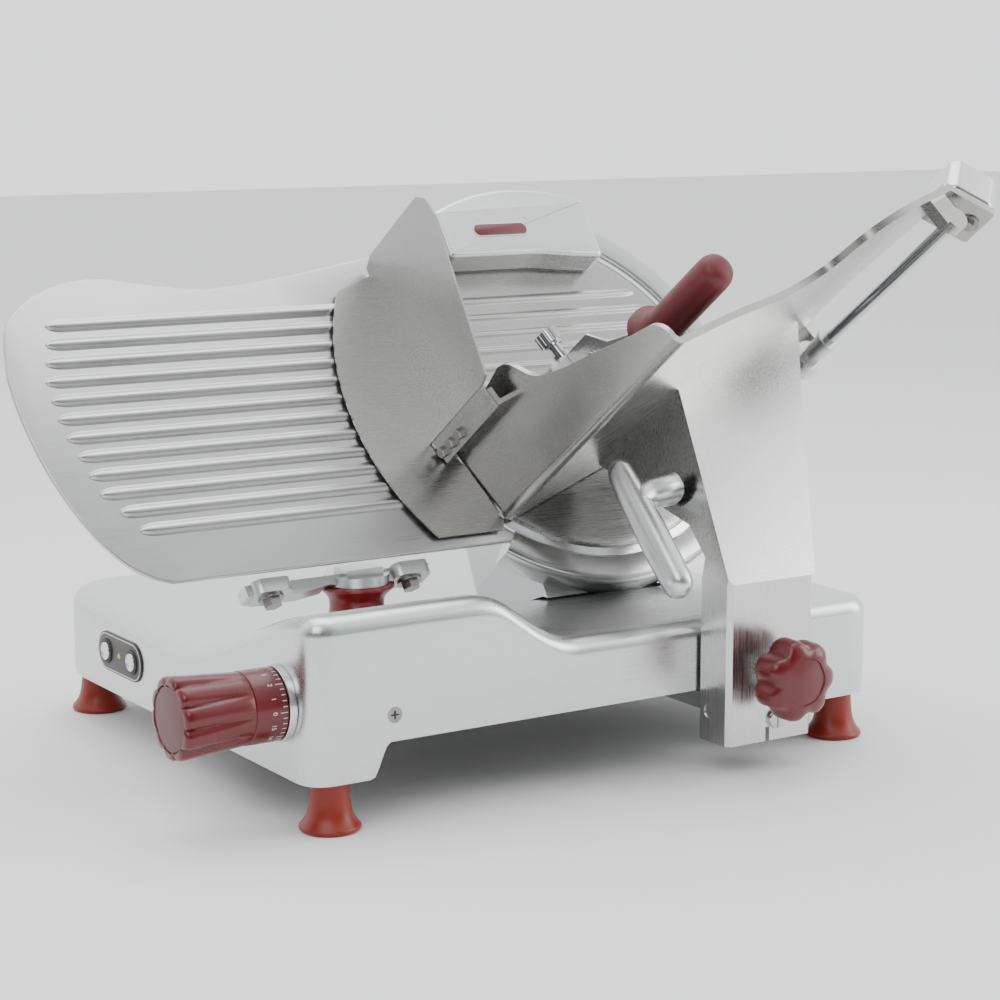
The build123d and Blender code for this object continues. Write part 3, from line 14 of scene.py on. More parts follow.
import bmesh
import bpy
import numpy as np
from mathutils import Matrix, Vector

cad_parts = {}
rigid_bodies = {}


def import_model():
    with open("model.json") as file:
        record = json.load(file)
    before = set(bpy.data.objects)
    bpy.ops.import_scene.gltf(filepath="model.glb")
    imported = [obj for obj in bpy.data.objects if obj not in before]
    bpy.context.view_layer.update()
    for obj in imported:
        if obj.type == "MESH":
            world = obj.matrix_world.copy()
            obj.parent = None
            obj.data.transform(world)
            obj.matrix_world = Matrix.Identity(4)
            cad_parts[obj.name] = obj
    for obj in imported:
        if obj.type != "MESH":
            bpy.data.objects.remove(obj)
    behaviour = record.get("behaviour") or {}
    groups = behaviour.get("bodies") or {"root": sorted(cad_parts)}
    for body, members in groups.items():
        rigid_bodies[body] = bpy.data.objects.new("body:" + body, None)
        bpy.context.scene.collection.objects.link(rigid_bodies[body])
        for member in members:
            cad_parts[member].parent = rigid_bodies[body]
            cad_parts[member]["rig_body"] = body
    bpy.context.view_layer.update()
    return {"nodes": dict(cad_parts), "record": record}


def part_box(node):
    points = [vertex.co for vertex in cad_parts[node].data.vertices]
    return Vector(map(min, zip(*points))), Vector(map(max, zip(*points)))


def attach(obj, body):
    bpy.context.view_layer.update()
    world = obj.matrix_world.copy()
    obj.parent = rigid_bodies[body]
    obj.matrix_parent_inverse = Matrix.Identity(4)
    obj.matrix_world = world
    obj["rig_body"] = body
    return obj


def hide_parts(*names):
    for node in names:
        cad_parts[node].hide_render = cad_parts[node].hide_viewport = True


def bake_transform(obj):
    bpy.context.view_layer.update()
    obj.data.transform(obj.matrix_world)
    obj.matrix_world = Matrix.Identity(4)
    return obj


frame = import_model()
LOG = logging.getLogger("slicer")
MM = 0.001
TILT = math.radians(54)          # the blade plane's axes are X, Y, Z turned by this about X
TURN = math.radians(20)          # the trough's axes are turned by this in the blade plane


def joint_facts(name: str) -> dict:
    """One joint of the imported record.

    Args:
        name: the joint's name.
    Returns:
        Its entry in the record.
    """
    return next(j for j in frame["record"]["behaviour"]["joints"] if j["name"] == name)


@dataclass(frozen=True)
class Axes:
    """A local frame: an origin in millimetres and three unit vectors as rows."""

    origin: np.ndarray
    rows: np.ndarray

    def place(self, points: np.ndarray) -> np.ndarray:
        """Carries points of this frame to the row frame.

        Args:
            points: array whose last axis holds local x, y, z in millimetres.
        Returns:
            The same array in the row frame, in millimetres.
        """
        return np.asarray(points, float) @ self.rows + self.origin

    def moved(self, x: float, y: float, z: float) -> "Axes":
        """The same directions from another local origin."""
        return Axes(self.place(np.array([x, y, z])), self.rows)


def turned(axes: Axes, angle: float) -> Axes:
    """The frame turned about its own z by an angle in radians."""
    c, s = math.cos(angle), math.sin(angle)
    x, y, z = axes.rows
    return Axes(axes.origin, np.array([c * x + s * y, c * y - s * x, z]))


ROW = Axes(np.zeros(3), np.eye(3))
BLADE = Axes(np.array(joint_facts("blade_spin")["pos_m"]) / MM,
             np.array([[1, 0, 0], [0, math.cos(TILT), math.sin(TILT)], [0, -math.sin(TILT), math.cos(TILT)]]))
TROUGH = turned(BLADE.moved(-110.6, -125.3, 0), TURN)


# ---------------------------------------------------------------- surfaces
class Skin:
    """Collects grids of points and writes them as one mesh."""

    def __init__(self) -> None:
        """Starts with no points and no faces."""
        self.points: list[np.ndarray] = []
        self.faces: list[list[int]] = []
        self.count = 0

    def grid(self, points: np.ndarray, close_rows: bool = False, close_cols: bool = False) -> "Skin":
        """Adds a grid of quads, each corner shared with its neighbours.

        Args:
            points: rows x columns x 3, in the row frame, in millimetres.
            close_rows: joins the last row to the first.
            close_cols: joins the last column to the first.
        Returns:
            This skin.
        """
        rows, cols = points.shape[:2]
        index = np.arange(rows * cols).reshape(rows, cols) + self.count
        if close_rows:
            index = np.vstack([index, index[:1]])
        if close_cols:
            index = np.hstack([index, index[:, :1]])
        quads = np.stack([index[:-1, :-1], index[:-1, 1:], index[1:, 1:], index[1:, :-1]], -1).reshape(-1, 4)
        self.points.append(points.reshape(-1, 3))
        self.faces.extend(quads.tolist())
        self.count += rows * cols
        return self

    def cap(self, loop: np.ndarray, flip: bool = False) -> "Skin":
        """Closes a loop of points with one flat face.

        Args:
            loop: points x 3, in the row frame, in millimetres.
            flip: turns the face over.
        Returns:
            This skin.
        """
        index = list(range(self.count, self.count + len(loop)))
        self.points.append(loop)
        self.faces.append(index[::-1] if flip else index)
        self.count += len(loop)
        return self

    def build(self, name: str, sharp: float = 32.0, recalculate: bool = True) -> bpy.types.Object:
        """Writes the mesh, merges its seams and poles and points its faces outwards.

        Args:
            name: the piece's name.
            sharp: edges over this angle in degrees stay crisp.
            recalculate: whether the normals are worked out again from the closed shape.
        Returns:
            The new object, at the origin.
        """
        mesh = bpy.data.meshes.new(name)
        mesh.from_pydata((np.vstack(self.points) * MM).tolist(), [], self.faces)
        work = bmesh.new()
        work.from_mesh(mesh)
        bmesh.ops.remove_doubles(work, verts=work.verts, dist=2e-6)
        bmesh.ops.dissolve_degenerate(work, edges=work.edges, dist=1e-6)
        if recalculate:
            bmesh.ops.recalc_face_normals(work, faces=work.faces)
        work.to_mesh(mesh)
        work.free()
        return shown(name, mesh, sharp)


def shown(name: str, mesh: bpy.types.Mesh, sharp: float) -> bpy.types.Object:
    """Puts a mesh in the scene with smooth shading, crisp over an angle in degrees."""
    mesh.shade_smooth()
    mesh.set_sharp_from_angle(angle=math.radians(sharp))
    piece = bpy.data.objects.new(name, mesh)
    bpy.context.scene.collection.objects.link(piece)
    return piece


def rounded(corners: Sequence[Sequence[float]], radius: float, steps: int = 6) -> np.ndarray:
    """A closed outline whose corners are arcs: each corner becomes a quadratic curve between its two legs.

    Args:
        corners: x, y of each corner, in order.
        radius: distance from the corner at which its curve starts, kept under half of each leg.
        steps: points on each curve.
    Returns:
        points x 2.
    """
    p = np.asarray(corners, float)
    before, after = np.roll(p, 1, 0) - p, np.roll(p, -1, 0) - p
    lb, la = np.linalg.norm(before, axis=1), np.linalg.norm(after, axis=1)
    reach = np.minimum(radius, 0.45 * np.minimum(lb, la))[:, None]
    a, b = p + before / lb[:, None] * reach, p + after / la[:, None] * reach
    t = np.linspace(0, 1, steps)[None, :, None]
    return ((1 - t) ** 2 * a[:, None] + 2 * t * (1 - t) * p[:, None] + t**2 * b[:, None]).reshape(-1, 2)


def smooth_curve(points: Sequence[Sequence[float]], steps: int = 12) -> np.ndarray:
    """An open curve through the points: a centripetal-like cubic with tangents from each point's neighbours.

    Args:
        points: points x k.
        steps: samples between two neighbours.
    Returns:
        samples x k.
    """
    p = np.asarray(points, float)
    tangent = np.gradient(p, axis=0)
    t = np.linspace(0, 1, steps, endpoint=False)[None, :, None]
    h0, h1 = 2 * t**3 - 3 * t**2 + 1, t**3 - 2 * t**2 + t
    h2, h3 = 3 * t**2 - 2 * t**3, t**3 - t**2
    body = h0 * p[:-1, None] + h1 * tangent[:-1, None] + h2 * p[1:, None] + h3 * tangent[1:, None]
    return np.vstack([body.reshape(-1, p.shape[1]), p[-1:]])


def inset(outline: np.ndarray, amount: float) -> np.ndarray:
    """Moves each point of a closed outline inwards along the mean normal of its two legs."""
    step = np.roll(outline, -1, 0) - np.roll(outline, 1, 0)
    normal = np.stack([-step[:, 1], step[:, 0]], 1)
    normal /= np.maximum(np.linalg.norm(normal, axis=1, keepdims=True), 1e-9)
    area = np.sum(outline[:, 0] * np.roll(outline[:, 1], -1) - outline[:, 1] * np.roll(outline[:, 0], -1))
    return outline + normal * amount * np.sign(area)


def slab(skin: Skin, axes: Axes, outline: np.ndarray, low: float, high: float, edge: float, steps: int = 4) -> Skin:
    """A flat plate with rounded edges: rings follow a quarter circle from each face to the rim.

    Args:
        skin: where the surface goes.
        axes: frame whose x, y plane holds the outline.
        outline: closed outline, points x 2.
        low: lower face.
        high: upper face.
        edge: radius of the rounding.
        steps: rings in each quarter circle.
    Returns:
        The skin.
    """
    angle = np.linspace(0, math.pi / 2, steps + 1)
    ins = np.concatenate([edge * (1 - np.sin(angle)), edge * (1 - np.cos(angle))])
    ups = np.concatenate([low + edge * (1 - np.cos(angle)), high - edge * (1 - np.sin(angle))])
    rings = np.stack([np.column_stack([inset(outline, i), np.full(len(outline), z)]) for i, z in zip(ins, ups)])
    placed = axes.place(rings)
    skin.grid(placed, close_cols=True)
    return skin.cap(placed[0], flip=True).cap(placed[-1])


def turned_body(skin: Skin, axes: Axes, profile: Iterable[Sequence[float]], around: int = 72,
                wave: Callable[[np.ndarray, np.ndarray], np.ndarray] | None = None) -> Skin:
    """A surface of revolution about the frame's z: x = r cos a, y = r sin a, z from the profile.

    Args:
        skin: where the surface goes.
        axes: frame whose z is the axis.
        profile: radius and height of each ring.
        around: points round each ring.
        wave: optional factor on the radius, from the angle and the ring's place from 0 to 1.
    Returns:
        The skin.
    """
    rz = np.asarray(list(profile), float)
    a = np.linspace(0, 2 * math.pi, around, endpoint=False)[None, :]
    r = np.repeat(rz[:, :1], around, 1)
    if wave is not None:
        r = r * wave(a, np.linspace(0, 1, len(rz))[:, None])
    points = np.stack([r * np.cos(a), r * np.sin(a), np.repeat(rz[:, 1:2], around, 1)], -1)
    return skin.grid(axes.place(points), close_cols=True)


def swept(skin: Skin, centres: np.ndarray, sides: np.ndarray, ups: np.ndarray, widths: np.ndarray,
          heights: np.ndarray, power: float = 2.6, around: int = 28) -> Skin:
    """A section carried along a path: |x/w|^p + |y/h|^p = 1 in the plane of the two side vectors.

    Args:
        skin: where the surface goes.
        centres: path points x 3.
        sides: unit vector of the width at each point.
        ups: unit vector of the height at each point.
        widths: half widths.
        heights: half heights.
        power: the section's exponent, 2 for an ellipse and more for a squarer form.
        around: points round each section.
    Returns:
        The skin.
    """
    a = np.linspace(0, 2 * math.pi, around, endpoint=False)
    c, s = np.cos(a), np.sin(a)
    x, y = np.sign(c) * np.abs(c) ** (2 / power), np.sign(s) * np.abs(s) ** (2 / power)
    rings = (centres[:, None] + sides[:, None] * (widths[:, None] * x)[..., None]
             + ups[:, None] * (heights[:, None] * y)[..., None])
    return skin.grid(rings, close_cols=True)


def fettled(node: str, width: float, segments: int = 3, angle: float = 35.0) -> bpy.types.Object:
    """A copy of a frame node with its flats joined up and its edges broken by a small round.

    Args:
        node: the frame node it stands for.
        width: width of the round in millimetres.
        segments: facets across it.
        angle: edges over this angle in degrees are rounded.
    Returns:
        The new piece, in the node's place.
    """
    source = frame["nodes"][node]
    work = bmesh.new()
    work.from_mesh(source.data)
    bmesh.ops.remove_doubles(work, verts=work.verts, dist=2e-6)
    bmesh.ops.dissolve_limit(work, angle_limit=math.radians(0.6), verts=work.verts, edges=work.edges)
    mesh = bpy.data.meshes.new(f"{node}_fettled")
    work.to_mesh(mesh)
    work.free()
    piece = shown(f"{node}_fettled", mesh, angle)
    bevel = piece.modifiers.new("broken_edges", "BEVEL")
    bevel.width, bevel.segments, bevel.limit_method = width * MM, segments, "ANGLE"
    bevel.angle_limit = math.radians(angle)
    bevel.use_clamp_overlap = True
    even = piece.modifiers.new("even_shading", "WEIGHTED_NORMAL")
    even.keep_sharp = True
    return piece


# ---------------------------------------------------------------- finishes
class Grain(Enum):
    """Which way a metal's brushing runs."""

    CAST = "no direction"
    LENGTH = "along X"
    UPRIGHT = "along Z"
    SLOPE = "along X, in the blade plane's axes"
    TROUGH = "along the tray's bottom"
    ROUND = "round the blade's axis"


class Nodes:
    """A short way of adding nodes to one material."""

    def __init__(self, name: str) -> None:
        """Makes the material with a Principled shader and an output."""
        self.material = bpy.data.materials.new(name)
        self.material.use_nodes = True
        self.tree = self.material.node_tree
        self.shader = self.tree.nodes["Principled BSDF"]

    def add(self, kind: str, inputs: dict | None = None, **settings: object) -> bpy.types.Node:
        """Adds a node.

        Args:
            kind: its Blender type name.
            inputs: socket name or number to a value or another node's socket.
            settings: its own properties.
        Returns:
            The node.
        """
        node = self.tree.nodes.new(kind)
        for key, value in settings.items():
            setattr(node, key, value)
        for key, value in (inputs or {}).items():
            if isinstance(value, bpy.types.NodeSocket):
                self.tree.links.new(value, node.inputs[key])
            else:
                node.inputs[key].default_value = value
        return node

    def drive(self, socket: str, value: bpy.types.NodeSocket) -> None:
        """Links a node's output to a socket of the shader."""
        self.tree.links.new(value, self.shader.inputs[socket])

    def fixed(self, **values: object) -> None:
        """Sets shader sockets that are the same all over the surface."""
        for key, value in values.items():
            self.shader.inputs[key.replace("_", " ")].default_value = value

    def ramp(self, source: bpy.types.NodeSocket, low: float, high: float, dark: Sequence[float],
             light: Sequence[float]) -> bpy.types.NodeSocket:
        """A colour ramp between two places of a grey pattern."""
        node = self.add("ShaderNodeValToRGB", {"Fac": source})
        node.color_ramp.elements[0].position, node.color_ramp.elements[1].position = low, high
        node.color_ramp.elements[0].color = (*dark, 1)
        node.color_ramp.elements[1].color = (*light, 1)
        return node.outputs["Color"]

    def span(self, source: bpy.types.NodeSocket, low: float, high: float) -> bpy.types.NodeSocket:
        """Maps a pattern's middle part, 0.3 to 0.7, onto a range."""
        node = self.add("ShaderNodeMapRange", {"Value": source, "From Min": 0.3, "From Max": 0.7,
                                               "To Min": low, "To Max": high})
        return node.outputs["Result"]


@dataclass(frozen=True)
class Metal:
    """Brushed, ground or cast metal: fine streaks in the roughness and bump, slow cloudiness in the colour."""

    name: str
    tint: tuple[float, float, float]
    roughness: float
    grain: Grain = Grain.CAST
    streak: float = 0.07             # swing of the roughness over the streaks
    bump: float = 0.04
    cloud: float = 0.06              # darkening of the cloudy patches

    def coordinates(self, nodes: Nodes) -> bpy.types.NodeSocket:
        """Object coordinates stretched so that a noise turns into streaks along the grain."""
        start = nodes.add("ShaderNodeTexCoord").outputs["Object"]
        turn = {Grain.SLOPE: (-TILT, 0.0, 0.0), Grain.ROUND: (-TILT, 0.0, 0.0),
                Grain.TROUGH: (-TILT, 0.0, -TURN)}.get(self.grain, (0.0, 0.0, 0.0))
        stretch = {Grain.CAST: (900, 900, 900), Grain.UPRIGHT: (1400, 1400, 14)}.get(self.grain, (14, 1400, 1400))
        if self.grain is Grain.ROUND:
            centre = BLADE.rows @ BLADE.origin * MM
            local = nodes.add("ShaderNodeMapping", {"Vector": start, "Rotation": turn,
                                                    "Location": tuple(-centre)}).outputs[0]
            flat = nodes.add("ShaderNodeVectorMath", {0: local, 1: (1, 1, 0)}, operation="MULTIPLY").outputs[0]
            reach = nodes.add("ShaderNodeVectorMath", {0: flat}, operation="LENGTH").outputs["Value"]
            return nodes.add("ShaderNodeCombineXYZ", {"X": nodes.add(
                "ShaderNodeMath", {0: reach, 1: 1500.0}, operation="MULTIPLY").outputs[0]}).outputs[0]
        local = nodes.add("ShaderNodeMapping", {"Vector": start, "Rotation": turn}).outputs[0]
        return nodes.add("ShaderNodeMapping", {"Vector": local, "Scale": stretch}).outputs[0]

    def material(self) -> bpy.types.Material:
        """Builds the material.

        Returns:
            The material, made once for each finish.
        """
        if self.name in bpy.data.materials:
            return bpy.data.materials[self.name]
        nodes = Nodes(self.name)
        fine = nodes.add("ShaderNodeTexNoise", {"Vector": self.coordinates(nodes), "Scale": 1.0, "Detail": 3.0,
                                                "Roughness": 0.6}).outputs["Fac"]
        place = nodes.add("ShaderNodeTexCoord").outputs["Object"]
        slow = nodes.add("ShaderNodeTexNoise", {"Vector": place, "Scale": 9.0, "Detail": 5.0,
                                                "Roughness": 0.65, "Distortion": 0.4}).outputs["Fac"]
        dark = tuple(c * (1 - self.cloud) for c in self.tint)
        colour = nodes.ramp(slow, 0.35, 0.68, dark, self.tint)
        fleck = nodes.ramp(fine, 0.25, 0.75, (0.93, 0.93, 0.93), (1.0, 1.0, 1.0))
        mixed = nodes.add("ShaderNodeMix", {0: 1.0, 6: colour, 7: fleck}, data_type="RGBA", blend_type="MULTIPLY")
        nodes.drive("Base Color", mixed.outputs[2])
        streaks = nodes.span(fine, self.roughness - self.streak, self.roughness + self.streak)
        haze = nodes.span(slow, -0.03, 0.04)
        nodes.drive("Roughness", nodes.add("ShaderNodeMath", {0: streaks, 1: haze}, operation="ADD").outputs[0])
        relief = nodes.add("ShaderNodeBump", {"Height": fine, "Strength": self.bump, "Distance": 0.0004})
        nodes.drive("Normal", relief.outputs["Normal"])
        nodes.fixed(Metallic=1.0)
        return nodes.material


@dataclass(frozen=True)
class Moulded:
    """Moulded plastic, rubber or paint: a soft mottle, a faint texture and dust that dulls it in places."""

    name: str
    colour: tuple[float, float, float]
    roughness: float
    mottle: float = 0.12
    texture: float = 0.05            # strength of the moulded skin's bump
    texture_scale: float = 700.0
    coat: float = 0.0

    def material(self) -> bpy.types.Material:
        """Builds the material.

        Returns:
            The material, made once for each finish.
        """
        if self.name in bpy.data.materials:
            return bpy.data.materials[self.name]
        nodes = Nodes(self.name)
        place = nodes.add("ShaderNodeTexCoord").outputs["Object"]
        slow = nodes.add("ShaderNodeTexNoise", {"Vector": place, "Scale": 28.0, "Detail": 4.0,
                                                "Roughness": 0.6}).outputs["Fac"]
        fine = nodes.add("ShaderNodeTexNoise", {"Vector": place, "Scale": self.texture_scale, "Detail": 2.0,
                                                "Roughness": 0.5}).outputs["Fac"]
        dark = tuple(c * (1 - self.mottle) for c in self.colour)
        light = tuple(min(1.0, c * (1 + self.mottle)) for c in self.colour)
        nodes.drive("Base Color", nodes.ramp(slow, 0.32, 0.7, dark, light))
        nodes.drive("Roughness", nodes.span(slow, self.roughness - 0.05, self.roughness + 0.06))
        relief = nodes.add("ShaderNodeBump", {"Height": fine, "Strength": self.texture, "Distance": 0.0005})
        nodes.drive("Normal", relief.outputs["Normal"])
        nodes.fixed(Coat_Weight=self.coat, Coat_Roughness=0.12)
        return nodes.material


CAST = Metal("cast_satin_aluminium", (0.62, 0.63, 0.63), 0.33, Grain.CAST, streak=0.05, bump=0.05)
CASE = Metal("brushed_casting", (0.72, 0.73, 0.735), 0.30, Grain.LENGTH, streak=0.07, bump=0.05, cloud=0.05)
COLUMN = Metal("brushed_column", (0.68, 0.68, 0.67), 0.27, Grain.UPRIGHT, streak=0.07, bump=0.05, cloud=0.04)
PLATE = Metal("brushed_plate", (0.60, 0.605, 0.60), 0.32, Grain.SLOPE, streak=0.06, bump=0.05, cloud=0.05)
SHEET = Metal("brushed_sheet", (0.44, 0.44, 0.43), 0.27, Grain.SLOPE, streak=0.06, bump=0.04, cloud=0.06)
TRAY = Metal("brushed_tray", (0.47, 0.465, 0.45), 0.26, Grain.TROUGH, streak=0.06, bump=0.04, cloud=0.06)
LATHE = Metal("turned_ring", (0.58, 0.585, 0.58), 0.24, Grain.ROUND, streak=0.06, bump=0.05, cloud=0.04)
EDGE = Metal("ground_blade", (0.78, 0.79, 0.80), 0.18, Grain.ROUND, streak=0.06, bump=0.03, cloud=0.03)
STEEL = Metal("machined_steel", (0.62, 0.62, 0.63), 0.30, Grain.CAST, streak=0.06, bump=0.03)
DARK_STEEL = Metal("oiled_steel", (0.34, 0.33, 0.32), 0.30, Grain.CAST, streak=0.06, bump=0.03)
CHROME = Metal("polished_rod", (0.55, 0.56, 0.58), 0.12, Grain.CAST, streak=0.03, bump=0.01, cloud=0.03)
BRONZE = Metal("sintered_bronze", (0.58, 0.42, 0.22), 0.42, Grain.CAST, streak=0.06, bump=0.10)
BUTTON = Metal("satin_button", (0.78, 0.78, 0.79), 0.24, Grain.CAST, streak=0.03, bump=0.01)
CRIMSON = Moulded("crimson_knob", (0.120, 0.0025, 0.007), 0.30, mottle=0.10, texture=0.03, coat=0.25)
CRIMSON_CAP = Moulded("crimson_cap", (0.085, 0.002, 0.005), 0.34, mottle=0.10, texture=0.03, coat=0.1)
MAROON = Moulded("maroon_grip", (0.125, 0.009, 0.014), 0.46, mottle=0.08, texture=0.06)
FOOT = Moulded("orange_red_foot", (0.27, 0.020, 0.009), 0.40, mottle=0.10, texture=0.05)
BOOT = Moulded("red_boot", (0.20, 0.004, 0.008), 0.30, mottle=0.08, texture=0.04, coat=0.2)
PANEL = Moulded("dark_panel", (0.045, 0.040, 0.036), 0.38, mottle=0.08, texture=0.03)
BLACK = Moulded("black_plastic", (0.02, 0.02, 0.02), 0.45, mottle=0.15, texture=0.06)
RUBBER = Moulded("black_belt", (0.025, 0.025, 0.025), 0.62, mottle=0.20, texture=0.25, texture_scale=500)
PAINT = Moulded("grey_motor_paint", (0.06, 0.065, 0.07), 0.42, mottle=0.12, texture=0.12, texture_scale=400)
GRIT = Moulded("bonded_grit", (0.42, 0.36, 0.29), 0.90, mottle=0.35, texture=0.9, texture_scale=2600)
LAMP = Moulded("unlit_lamp", (0.62, 0.50, 0.20), 0.20, mottle=0.05, texture=0.01, coat=0.5)
BADGE = Moulded("maroon_badge", (0.14, 0.008, 0.014), 0.30, mottle=0.05, texture=0.02, coat=0.3)
INK = Moulded("white_ink", (0.78, 0.77, 0.74), 0.50, mottle=0.05, texture=0.02)


def dress(piece: bpy.types.Object, finish: Metal | Moulded) -> bpy.types.Object:
    """Gives every face of a piece one finish."""
    piece.data.materials.clear()
    piece.data.materials.append(finish.material())
    return piece


def settle(piece: bpy.types.Object, body: str, finish: Metal | Moulded,
           stands_for: Sequence[str] = ()) -> bpy.types.Object:
    """Dresses a new piece, lets it ride on its body and hides the nodes it stands for.

    Args:
        piece: the new piece.
        body: the frame body it moves with.
        finish: its finish.
        stands_for: frame nodes that it hides.
    Returns:
        The piece.
    """
    dress(piece, finish)
    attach(piece, body)
    if stands_for:
        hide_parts(*stands_for)
    LOG.info("%s rides on %s", piece.name, body)
    return piece


def applied(piece: bpy.types.Object, cutters: Sequence[bpy.types.Object] = ()) -> bpy.types.Object:
    """Cuts other solids out of a piece, applies its modifiers and removes the cutters."""
    for cutter in cutters:
        cut = piece.modifiers.new("cut", "BOOLEAN")
        cut.operation, cut.object, cut.solver = "DIFFERENCE", cutter, "EXACT"
    bpy.context.view_layer.update()
    graph = bpy.context.evaluated_depsgraph_get()
    mesh = bpy.data.meshes.new_from_object(piece.evaluated_get(graph))
    piece.modifiers.clear()
    piece.data = mesh
    for cutter in cutters:
        bpy.data.objects.remove(cutter)
    return piece


def resampled(outline: np.ndarray, step: float) -> np.ndarray:
    """A closed outline with points evenly spaced along its length, about a step apart."""
    loop = np.vstack([outline, outline[:1]])
    run = np.concatenate([[0], np.cumsum(np.linalg.norm(np.diff(loop, axis=0), axis=1))])
    at = np.linspace(0, run[-1], max(int(run[-1] / step), 12), endpoint=False)
    return np.column_stack([np.interp(at, run, loop[:, k]) for k in range(outline.shape[1])])


def arc(radius: float, start: float, end: float, steps: int = 40) -> np.ndarray:
    """Points on a circle about the origin between two angles in degrees."""
    a = np.radians(np.linspace(start, end, steps))
    return radius * np.column_stack([np.cos(a), np.sin(a)])


def smooth_step(x: np.ndarray, low: float, high: float) -> np.ndarray:
    """0 below low, 1 above high, 3t^2 - 2t^3 between."""
    t = np.clip((x - low) / (high - low), 0, 1)
    return t * t * (3 - 2 * t)


def bar_rib(skin: Skin, axes: Axes, left: float, right: float, middle: float, width: float, height: float) -> None:
    """A pressed rib: height (1 + cos pi b) / 2 across, narrowing to a round point over its last 14 mm."""
    a = np.concatenate([np.linspace(0, 16, 9), np.linspace(16, right - left - 16, 6)[1:-1],
                        np.linspace(right - left - 16, right - left, 9)])
    end = np.minimum(a, (right - left) - a) / 16
    taper = np.sqrt(np.clip(1 - (1 - np.clip(end, 0, 1)) ** 2, 0, 1))
    b = np.linspace(-1, 1, 13)
    x = np.repeat((left + a)[:, None], 13, 1)
    u = middle + 0.5 * width * taper[:, None] * b[None, :]
    n = height * np.sqrt(taper)[:, None] * (0.5 + 0.5 * np.cos(math.pi * b))[None, :] ** 0.8 - 0.04
    skin.grid(axes.place(np.stack([x, u, n], -1)))
    skin.grid(axes.place(np.stack([x, u, np.full_like(n, -0.6)], -1))[:, ::-1])


